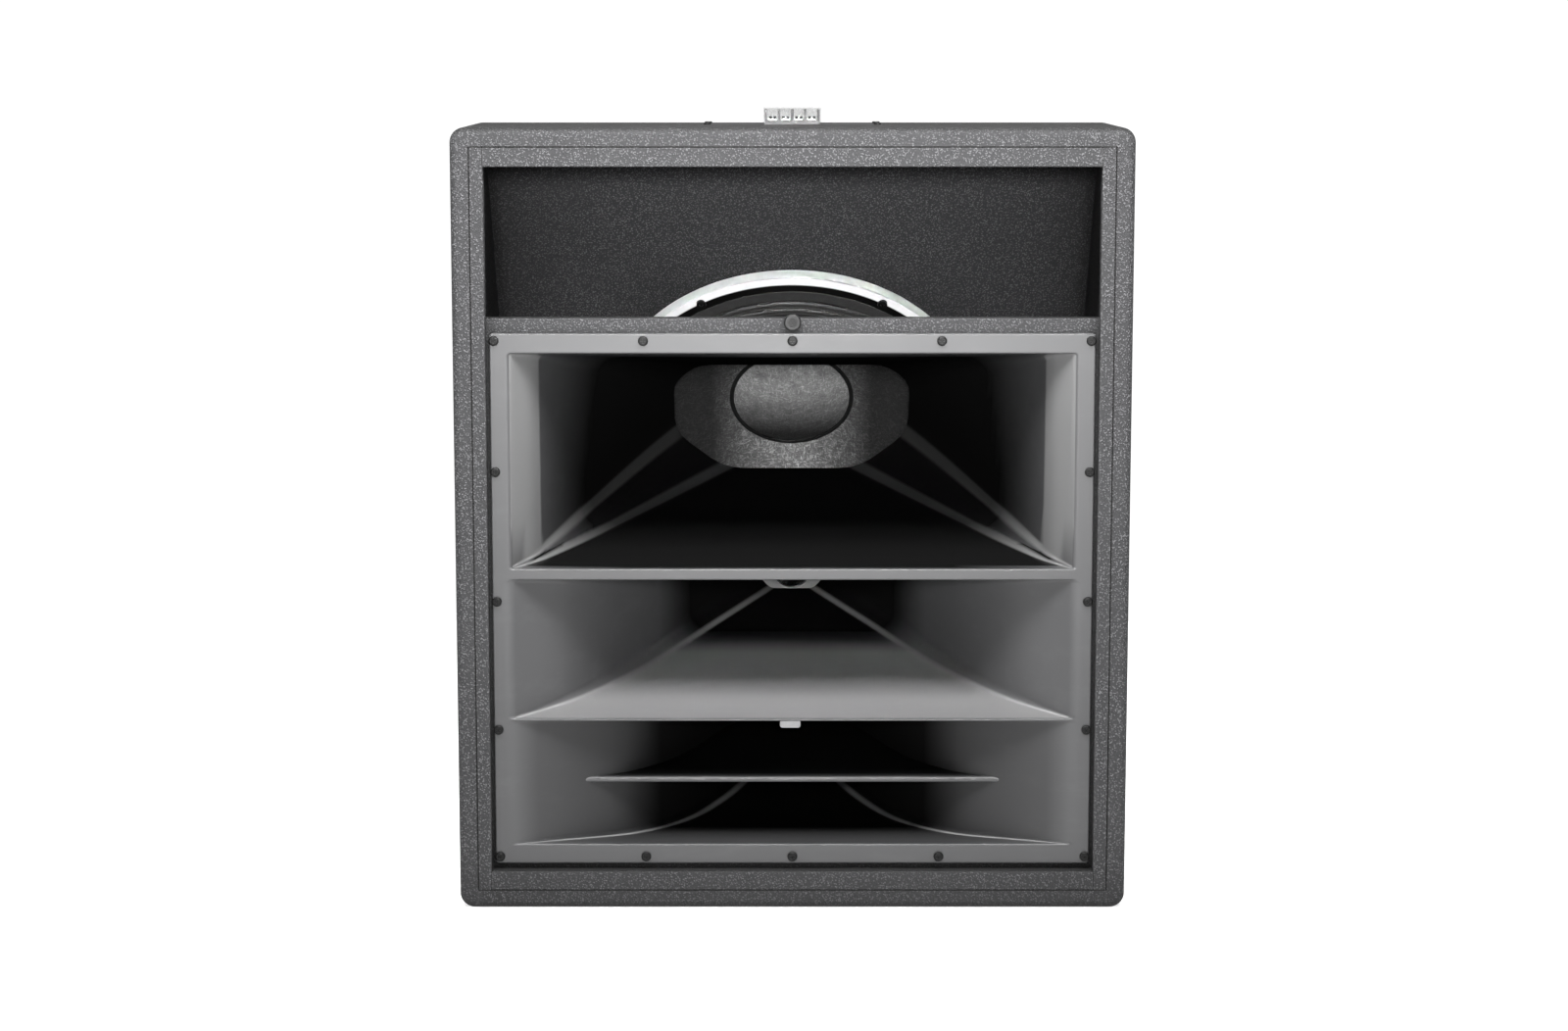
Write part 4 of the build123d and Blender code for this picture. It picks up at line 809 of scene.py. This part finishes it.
def pressed_paper(name, scale, fleck, shade):
    """Pulp with short pale fibres lying every way; shade is the painted shade's axis and range."""
    colours = bpy.context.scene.finish_settings
    f = Finish(name, tuple(c * scale for c in colours.paper), 0.85, Specular_IOR_Level=0.3)
    masks = []
    for stretch, twist in (((1, 0.22, 0.22), 1.2), ((0.22, 1, 0.22), 1.6), ((0.3, 0.3, 1), 1.0)):
        hair = f.noise(1.5 * MM, detail=3, rough=0.6, stretch=stretch, twist=twist)
        masks.append(f.ramp(hair, 0.55, 0.72))
    hairs = f.both(f.both(masks[0], masks[1], "MAXIMUM"), masks[2], "MAXIMUM")
    mottle = f.noise(11 * MM, detail=5, rough=0.6)
    f.stain(f.ramp(hairs, 0, 1, 0, fleck), tuple(c * scale for c in colours.fibre))
    f.stain(f.ramp(mottle, 0.45, 0.75, 0, 0.6), tuple(c * scale * 0.35 for c in colours.paper))
    # Painted shade along the given axis: darker from start towards end.
    axis, start, end = shade
    spot = f.node("SeparateXYZ", {"Vector": f.place}).outputs[axis]
    away = f.node("Math", operation="ABSOLUTE")
    f.tree.links.new(spot, away.inputs[0])
    f.stain(f.ramp(away.outputs[0], start, end, 0, 0.95), (0.002, 0.002, 0.002))
    f.gloss(f.both(hairs, mottle), 0.9, 0.6)
    f.bump(hairs, 0.25 * MM, 0.9).bump(mottle, 0.8 * MM, 0.35)


def woven(name, colour, thread, roughness=0.9):
    """Cloth of crossing threads."""
    f = Finish(name, colour, roughness, Sheen_Weight=0.15)
    waves = []
    for direction in "XZ":
        wave = f.node("TexWave", {"Vector": f.place}, Scale=1 / (thread * 20), Distortion=0.6)
        wave.bands_direction = direction
        waves.append(wave.outputs["Fac"])
    threads = f.both(*waves, "MAXIMUM")
    cloud = f.noise(25 * MM, detail=4)
    f.stain(f.ramp(threads, 0.4, 1, 0, 0.6), tuple(min(1, c * 1.6) for c in colour))
    f.stain(f.ramp(cloud, 0.4, 0.7, 0, 0.35), tuple(c * 0.55 for c in colour))
    f.gloss(cloud, roughness, roughness - 0.15)
    f.bump(threads, thread * 0.4, 0.8)


def fibre_blanket():
    """Pale wadding of tangled fibres."""
    f = Finish("lining_fibre", (0.62, 0.58, 0.46), 0.95, Sheen_Weight=0.3)
    hairs = f.noise(1.2 * MM, detail=5, rough=0.7, stretch=(1, 0.4, 1), twist=2.0)
    tufts = f.noise(18 * MM, detail=4)
    f.stain(f.ramp(hairs, 0.5, 0.7, 0, 0.7), (0.85, 0.82, 0.74))
    f.stain(f.ramp(tufts, 0.5, 0.75, 0, 0.4), (0.42, 0.38, 0.29))
    f.gloss(hairs, 1.0, 0.85)
    f.bump(hairs, 0.6 * MM, 0.9).bump(tufts, 2 * MM, 0.5)


def clear_plastic():
    """Clear cover with slight smears."""
    f = Finish("clear_plastic", (0.97, 0.98, 0.98), 0.06, Transmission_Weight=1.0, IOR=1.2)
    smear = f.noise(6 * MM, detail=4)
    f.stain(f.ramp(smear, 0.5, 0.8), (0.9, 0.91, 0.92))
    f.tree.links.new(f.ramp(smear, 0.3, 0.8, 0.12, 0.35), f.shader.inputs["Alpha"])
    f.gloss(f.ramp(smear, 0.45, 0.75), 0.04, 0.2)
    f.bump(smear, 0.05 * MM, 0.3)


def board_laminate():
    """Green laminate with tracks under its varnish."""
    f = Finish("circuit_board", (0.03, 0.17, 0.08), 0.35, Coat_Weight=0.3)
    tracks = f.node("TexBrick", {"Vector": f.place}, Scale=60.0)
    weave = f.noise(1.4 * MM, detail=2)
    f.stain(f.ramp(tracks.outputs["Fac"], 0, 1, 0, 0.8), (0.05, 0.30, 0.13))
    f.stain(f.ramp(weave, 0.5, 0.8, 0, 0.3), (0.02, 0.10, 0.05))
    f.gloss(weave, 0.45, 0.25)
    f.bump(tracks.outputs["Fac"], 0.05 * MM, 0.6)


def wound_wire():
    """Turns of enamelled copper wire."""
    f = Finish("copper", (0.72, 0.33, 0.16), 0.3, metal=1.0)
    turns = f.node("TexWave", {"Vector": f.place}, Scale=45.0, Distortion=0.3)
    turns.bands_direction = "Y"
    patches = f.noise(10 * MM, detail=4)
    f.stain(f.ramp(turns.outputs["Fac"], 0.0, 0.5, 0.7, 0.0), (0.30, 0.10, 0.04))
    f.stain(f.ramp(patches, 0.5, 0.8, 0, 0.4), (0.45, 0.16, 0.07))
    f.gloss(patches, 0.38, 0.2)
    f.bump(turns.outputs["Fac"], 0.4 * MM, 0.8)


DARK = {  # colour, roughness, grain, relief, rub and specular level
    "black_screws": ((0.004, 0.004, 0.004), 0.34, 0.4 * MM, 0.02 * MM, 0.1, 0.12),
    "magnet_ferrite": ((0.07, 0.07, 0.072), 0.55, 1.2 * MM, 0.1 * MM, 0.3, 0.5),
    "black_plastic": ((0.02, 0.02, 0.021), 0.38, 0.6 * MM, 0.02 * MM, 0.3, 0.5),
    "black_rubber": ((0.006, 0.006, 0.006), 0.4, 0.5 * MM, 0.03 * MM, 0.1, 0.2),
    "black_plate": ((0.018, 0.018, 0.019), 0.62, 0.8 * MM, 0.05 * MM, 0.3, 0.12),
    "gasket_board": ((0.012, 0.012, 0.012), 0.7, 1.1 * MM, 0.1 * MM, 0.1, 0.5),
    "grey_pad": ((0.09, 0.09, 0.092), 0.6, 0.8 * MM, 0.05 * MM, 0.2, 0.5),
    "coil_former": ((0.42, 0.25, 0.09), 0.4, 0.9 * MM, 0.02 * MM, 0.3, 0.5),
    "capacitor_film": ((0.55, 0.42, 0.06), 0.3, 0.9 * MM, 0.03 * MM, 0.1, 0.5),
    "resistor_ceramic": ((0.6, 0.6, 0.57), 0.7, 0.7 * MM, 0.06 * MM, 0.3, 0.5),
    "cap_glue": ((0.005, 0.005, 0.005), 0.5, 2 * MM, 0.1 * MM, 0.0, 0.1),
}


def make_finishes():
    """Makes every finish, named after the record's slot that it stands for."""
    textured_black_coating()
    satin_black_moulding()
    for name, values in DARK.items():
        mottled(name, *values)
    metal("bright_steel", (0.72, 0.72, 0.72), 0.24, brushed=(1, 0.2, 1))
    # Plated steel darkened to near black: painted shade for the parts deep inside the cabinet.
    metal("plated_steel", (0.11, 0.11, 0.11), 0.4)
    metal("titanium", (0.58, 0.57, 0.56), 0.28, brushed=(1, 1, 0.1))
    painted_casting()
    # Painted shade: the cone darker towards its sides, the cap darker towards its bottom.
    pressed_paper("paper_cone", 1.6, 0.8, ("X", 0.01, 0.085))
    pressed_paper("paper_cap", 1.9, 0.35, ("Z", 0.458, 0.41))
    woven("treated_cloth", (0.005, 0.005, 0.005), 0.5 * MM, 0.6)
    wound_wire()
    board_laminate()
    fibre_blanket()
    clear_plastic()


def node_slots():
    """The finish slot of every CAD node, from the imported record."""
    return {part["node"]: part["material_slot"] for part in frame["record"]["subparts"]}


def dress(piece, slot):
    """Puts a finish on a piece in place of what it has."""
    piece.data.materials.clear()
    piece.data.materials.append(bpy.data.materials["finish_" + slot])


# ---------------------------------------------------------------- operators


DRESSED_APART = {"bumper_screw": "black_screws"}  # nodes whose finish is not their slot's


class OBJECT_OT_speaker_finishes(bpy.types.Operator):
    """Make every finish and put it on the CAD parts that keep their shape"""

    bl_idname = "object.speaker_finishes"
    bl_label = "Finishes"

    def execute(self, context):
        make_finishes()
        slots = node_slots()
        for name, node in frame["nodes"].items():
            dress(node, DRESSED_APART.get(name, slots[name]))
            node.data.shade_smooth()
            node.data.set_sharp_from_angle(angle=radians(32))
        return {"FINISHED"}


class OBJECT_OT_speaker_horn_front(bpy.types.Operator):
    """Build the one-piece horn front: flange, three mouths and the flares behind them"""

    bl_idname = "object.speaker_horn_front"
    bl_label = "Horn front"

    def execute(self, context):
        mesh = bmesh.new()
        crease = mesh.verts.layers.float.new("crease")
        faces, backs = zip(*[horn_skin(mesh, key, crease) for key in ROLLS])
        face, back = flange_skin(mesh)
        fill_between(mesh, face, faces, (0, -1, 0))
        fill_between(mesh, back, backs, (0, 1, 0))
        nodes = ("horn_flange", "top_horn", "middle_horn", "bottom_horn")
        piece = finish_mesh("horn_front", mesh, CABINET, *nodes, slot=MOULDING, sharp=50)
        paint_moulding(piece)
        dress(piece, MOULDING)
        return {"FINISHED"}


class OBJECT_OT_speaker_vane(bpy.types.Operator):
    """Build the vane across the bottom horn, with its rounded front edge"""

    bl_idname = "object.speaker_vane"
    bl_label = "Vane"

    def execute(self, context):
        s = context.scene.horn_settings
        curve = smooth_curve(stations("bottom"))
        top = horn_numbers()["bottom"][0] - s.vane_drop
        slope = (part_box("horn_vane")[1].z - top) / (s.vane_end - s.vane_start)
        nose = 2.3 * MM
        nose_steps, steps, columns_across = 6, 20, 24
        rows = []
        for i in range(nose_steps, -1, -1):
            a = pi / 2 * i / nose_steps
            rows.append((s.vane_start + nose * (1 - sin(a)), -nose * (1 - cos(a))))
        flat = s.vane_end - s.vane_start - nose
        for i in range(1, steps + 1):
            rows.append((s.vane_start + nose + flat * (i / steps) ** 1.3, 0.0))
        upper = [(d, top + drop + slope * (d - s.vane_start)) for d, drop in rows]
        lower = [(d, z - s.vane - 2 * drop) for (d, z), (_, drop) in zip(upper, rows)]
        section = upper + lower[::-1]
        mesh = bmesh.new()
        columns = []
        for i in range(columns_across + 1):
            share = -1 + 2 * i / columns_across
            points = [(share * (curve(d)[0] + 0.4 * MM), FRONT + d, z) for d, z in section]
            columns.append(ring(mesh, points))
        for one, two in zip(columns, columns[1:]):
            skin(mesh, one, two)
        for end in (columns[0], columns[-1]):
            mesh.faces.new(end)
        bmesh.ops.triangulate(mesh, faces=[f for f in mesh.faces if len(f.verts) > 4])
        piece = finish_mesh("flare_vane", mesh, CABINET, "horn_vane", slot=MOULDING, sharp=50)
        # Painted shade on the vane behind its rounded front edge.
        shade = piece.data.attributes.new("inside", "FLOAT", "POINT")
        dark_from = FRONT + s.vane_start + nose
        values = [clamp((v.co.y - dark_from) / (4 * MM)) for v in piece.data.vertices]
        shade.data.foreach_set("value", values)
        dress(piece, MOULDING)
        return {"FINISHED"}


def lathe(name, profile, body, *replaced, slot, finish=None, turns=144, wobble=None):
    """Turns a closed (radius, place) outline about the woofer's axis."""
    centre, facing, up = woofer_axes()
    across = Vector((1, 0, 0))
    mesh = bmesh.new()
    rings = []
    for k in range(turns):
        a = 2 * pi * k / turns
        out = across * cos(a) + up * sin(a)
        points = []
        for radius, place in profile:
            lift = wobble(radius, a) if wobble else 0.0
            points.append(centre + out * radius + facing * (place + lift))
        rings.append([mesh.verts.new(p) for p in points])
    count = len(profile)
    for k in range(turns):
        one, two = rings[k], rings[(k + 1) % turns]
        for i in range(count):
            j = (i + 1) % count
            mesh.faces.new((one[i], one[j], two[j], two[i]))
    bmesh.ops.remove_doubles(mesh, verts=mesh.verts, dist=1e-6)
    piece = finish_mesh(name, mesh, body, *replaced, slot=slot, sharp=45)
    dress(piece, finish or slot)
    return piece


def pulp(radius, angle):
    """The slight unevenness of pressed paper."""
    spot = Vector((cos(angle), sin(angle), 0)) * radius * 55
    return noise.noise(spot) * 0.12 * MM


def bead(radius, angle):
    """The unevenness of a hand-laid bead of glue."""
    return noise.noise(Vector((cos(angle), sin(angle), 0)) * 9) * 0.5 * MM


class OBJECT_OT_speaker_cone(bpy.types.Operator):
    """Build the woofer's paper cone, dust cap, glue bead and rolled surround"""

    bl_idname = "object.speaker_cone"
    bl_label = "Cone and surround"

    def execute(self, context):
        s = context.scene.woofer_settings
        landing = s.landing - s.roll
        lip = s.cone - s.rim
        run = lip - s.neck
        self.make_cone(s, landing, lip, run)
        edge = landing - s.neck_drop / run * (lip - s.cap)
        self.make_cap(s, edge)
        self.make_surround(s, landing)
        return {"FINISHED"}

    def make_cone(self, s, landing, lip, run):
        """The paper cone, which sags a little between its rim and its neck."""
        front = [(s.cone, landing), (lip, landing)]
        steps = 22
        for i in range(1, steps + 1):
            t = i / steps
            front.append((lip - run * t, landing - s.neck_drop * t - 0.9 * MM * sin(pi * t)))
        back = [(radius, place - s.wall) for radius, place in front[::-1]]
        lathe("paper_cone", front + back, CONE, "woofer_cone", slot="paper_cone", wobble=pulp)

    def make_cap(self, s, edge):
        """The domed dust cap and the glue round its edge."""
        sphere = (s.cap**2 + s.cap_rise**2) / (2 * s.cap_rise)
        limit = atan2(s.cap, sphere - s.cap_rise)
        middle = edge + s.cap_rise - sphere
        steps = 26
        dome = []
        for i in range(steps):
            a = limit * (1 - i / steps)
            dome.append((sphere * sin(a), middle + sphere * cos(a)))
        dome.append((0.02 * MM, middle + sphere))
        inside = [(radius, place - 1.0 * MM) for radius, place in dome[::-1]]
        lathe("dust_dome", dome + inside, CONE, "dust_cap", slot="paper_cap", wobble=pulp)
        glue = []
        for i in range(14):
            a = 2 * pi * i / 14
            radius = s.cap + 0.6 * MM + s.glue * cos(a) * 1.15
            glue.append((radius, edge + 0.6 * MM + s.glue * 0.8 * sin(a)))
        lathe("cap_glue", glue, CONE, slot=None, finish="cap_glue", wobble=bead)

    def make_surround(self, s, landing):
        """The surround's two rolls, which follow the cone at its edge and the frame outside."""
        middle = landing + s.roll / 2
        roll = (s.surround_in - s.cone) / 4
        line = [(s.cone - 5.5 * MM, middle)]
        for k in (1, 3):
            for i in range(13):
                a = pi * (1 - i / 12)
                line.append((s.cone + k * roll + roll * cos(a), middle + roll * sin(a)))
        line.append((s.surround_out, middle))
        thick = s.roll * 0.45
        outside = [(radius, place + thick) for radius, place in line]
        behind = [(radius, place - thick) for radius, place in line[::-1]]
        slot = "treated_cloth"
        surround = lathe("rolled_surround", outside + behind, None, "woofer_surround", slot=slot)
        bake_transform(surround)


def quilt_thickness(u, v, thick):
    """The blanket's thickness across its width, u, and length, v, and how far from its edge."""
    rim = min(1.0, 14 * min(u, 1 - u)) * min(1.0, 9 * min(v, 1 - v))
    rim = max(0.12, 1 - (1 - rim) ** 2.2)
    tufts_across, tufts_along = 6, 4
    quilt = abs(sin(pi * u * tufts_across) * sin(pi * v * tufts_along)) ** 0.5
    puff = thick * rim * (0.62 + 0.34 * quilt)
    puff += noise.noise(Vector((u * 9, v * 6, 3))) * 0.8 * MM * rim
    return max(1.0 * MM, puff), rim


class OBJECT_OT_speaker_lining(bpy.types.Operator):
    """Build the quilted damping blanket under the rear of the top"""

    bl_idname = "object.speaker_lining"
    bl_label = "Damping lining"

    def execute(self, context):
        slope = radians(12)
        along = Vector((0, cos(slope), -sin(slope)))
        out = Vector((0, -sin(slope), -cos(slope)))
        width = LINING_HIGH.x - LINING_LOW.x
        thick = 20 * MM
        length = (LINING_HIGH.y - LINING_LOW.y - thick * sin(slope)) / cos(slope)
        corner = Vector((LINING_LOW.x, LINING_LOW.y + thick * sin(slope), LINING_HIGH.z))
        columns, rows = 60, 36
        mesh = bmesh.new()
        top, bottom = [], []
        for j in range(rows + 1):
            top.append([])
            bottom.append([])
            for i in range(columns + 1):
                u, v = i / columns, j / rows
                puff, rim = quilt_thickness(u, v, thick)
                pull = 4 * MM * (1 - rim)
                x = width * u + (pull if u < 0.5 else -pull)
                spot = corner + Vector((x, 0, 0)) + along * (length * v)
                top[j].append(mesh.verts.new(spot + out * (0.3 * MM)))
                bottom[j].append(mesh.verts.new(spot + out * puff))
        for j in range(rows):
            for i in range(columns):
                for side in (top, bottom):
                    corners = (side[j][i], side[j + 1][i], side[j + 1][i + 1], side[j][i + 1])
                    mesh.faces.new(corners)
        for j in range(rows):
            for i in (0, columns):
                mesh.faces.new((top[j][i], bottom[j][i], bottom[j + 1][i], top[j + 1][i]))
        for i in range(columns):
            for j in (0, rows):
                mesh.faces.new((top[j][i], top[j][i + 1], bottom[j][i + 1], bottom[j][i]))
        slot = "lining_fibre"
        piece = finish_mesh("quilted_lining", mesh, CABINET, "damping_lining", slot=slot, sharp=80)
        dress(piece, slot)
        return {"FINISHED"}


class OBJECT_OT_speaker_stage(bpy.types.Operator):
    """Build the pale floor, the soft lights and the camera"""

    bl_idname = "object.speaker_stage"
    bl_label = "Stage"

    def light(self, name, power, spot, aim, width, height, spread=180, shine=1.0):
        """An area light at spot that looks at aim."""
        data = bpy.data.lights.new(name, "AREA")
        data.spread = radians(spread)
        data.specular_factor = shine
        data.shape = "RECTANGLE"
        data.size, data.size_y = width, height
        data.energy = power
        lamp = bpy.data.objects.new(name, data)
        bpy.context.scene.collection.objects.link(lamp)
        lamp.location = spot
        lamp.rotation_euler = (Vector(aim) - Vector(spot)).to_track_quat("-Z", "Y").to_euler()

    def execute(self, context):
        self.make_floor(context.scene.stage_settings)
        self.make_lights(context.scene.stage_settings)
        self.make_room(context.scene)
        self.make_camera(context.scene)
        return {"FINISHED"}

    def make_floor(self, s):
        """A pale sheet under the cabinet that ends a little behind it."""
        mesh = bmesh.new()
        wide, deep = 3.0, 1.25
        corners = ((-wide, -wide), (wide, -wide), (wide, deep), (-wide, deep))
        mesh.faces.new([mesh.verts.new((x, y, cad_low.z)) for x, y in corners])
        floor = finish_mesh("studio_floor", mesh, None)
        f = Finish("floor_paper", tuple(s.floor), 0.8, Emission_Strength=0.75)
        f.shader.inputs["Emission Color"].default_value = (1, 1, 1, 1)
        cloud = f.noise(0.4, detail=3)
        f.stain(f.ramp(cloud, 0.3, 0.8, 0, 0.3), tuple(c * 0.97 for c in s.floor))
        f.bump(f.noise(2 * MM), 0.1 * MM, 0.2)
        dress(floor, "floor_paper")

    def make_lights(self, s):
        """A high key light, a narrow fill, one light on each side and one over the floor."""
        middle = (cad_low + cad_high) / 2
        key_spot, key_aim = (0, FRONT - 0.62, 1.5), (0, FRONT, 0.45)
        fill_spot, fill_aim = (0, FRONT - 3.2, 1.0), (0, FRONT, 0.62)
        self.light("key", s.key, key_spot, key_aim, 1.5, 0.5)
        self.light("floor_wash", s.wash, (0, 1.5, 2.6), (0, 0.7, 0), 3.6, 1.4, shine=0.2)
        self.light("fill", s.fill, fill_spot, fill_aim, 0.6, 0.3, spread=24)
        for side in (-1, 1):
            spot = (side * 2.2, FRONT - 0.6, 0.9)
            self.light(f"side_{side}", s.side, spot, middle, 0.9, 1.6, shine=0.2)

    def make_room(self, scene):
        """A room that looks white and gives less light than that."""
        world = bpy.data.worlds.new("white_room")
        world.use_nodes = True
        scene.world = world
        nodes, links = world.node_tree.nodes, world.node_tree.links
        backdrop = nodes["Background"]
        backdrop.inputs["Color"].default_value = (1, 1, 1, 1)
        rays = nodes.new("ShaderNodeLightPath")
        level = nodes.new("ShaderNodeMapRange")
        level.inputs["To Min"].default_value = scene.stage_settings.room
        level.inputs["To Max"].default_value = 1.1
        links.new(rays.outputs["Is Camera Ray"], level.inputs["Value"])
        links.new(level.outputs["Result"], backdrop.inputs["Strength"])

    def make_camera(self, scene):
        """The camera in front of the cabinet, a little above its top."""
        s = scene.stage_settings
        data = bpy.data.cameras.new("camera")
        data.lens = s.lens
        camera = bpy.data.objects.new("camera", data)
        scene.collection.objects.link(camera)
        camera.location = (-8 * MM, FRONT - s.distance, TOP + s.rise)
        camera.rotation_euler = Euler((s.tilt, 0, 0))
        scene.camera = camera
        scene.view_settings.view_transform = "Standard"


class VIEW3D_PT_speaker(bpy.types.Panel):
    """Loudspeaker tools"""

    bl_idname = "VIEW3D_PT_speaker"
    bl_label = "Loudspeaker"
    bl_space_type = "VIEW_3D"
    bl_region_type = "UI"
    bl_category = "Loudspeaker"

    def draw(self, context):
        """Lists the operators, and then every setting."""
        for operator in OPERATORS:
            self.layout.operator(operator.bl_idname)
        for group in SETTINGS:
            box = self.layout.box()
            settings = getattr(context.scene, group)
            for key in settings.__annotations__:
                box.prop(settings, key)


OPERATORS = (
    OBJECT_OT_speaker_finishes,
    OBJECT_OT_speaker_horn_front,
    OBJECT_OT_speaker_vane,
    OBJECT_OT_speaker_cone,
    OBJECT_OT_speaker_lining,
    OBJECT_OT_speaker_stage,
)
SETTINGS = {
    "horn_settings": HornSettings,
    "woofer_settings": WooferSettings,
    "finish_settings": FinishSettings,
    "stage_settings": StageSettings,
}


def register():
    """Adds the settings, the operators and the panel."""
    for group in SETTINGS.values():
        bpy.utils.register_class(group)
    for operator in OPERATORS:
        bpy.utils.register_class(operator)
    bpy.utils.register_class(VIEW3D_PT_speaker)
    for name, group in SETTINGS.items():
        setattr(bpy.types.Scene, name, PointerProperty(type=group))


def unregister():
    """Takes away what register added."""
    for name in SETTINGS:
        delattr(bpy.types.Scene, name)
    bpy.utils.unregister_class(VIEW3D_PT_speaker)
    for operator in reversed(OPERATORS):
        bpy.utils.unregister_class(operator)
    for group in reversed(list(SETTINGS.values())):
        bpy.utils.unregister_class(group)


def main():
    """Builds everything."""
    register()
    bpy.ops.object.speaker_finishes()
    bpy.ops.object.speaker_horn_front()
    bpy.ops.object.speaker_vane()
    bpy.ops.object.speaker_cone()
    bpy.ops.object.speaker_lining()
    bpy.ops.object.speaker_stage()


if __name__ == "__main__":
    main()
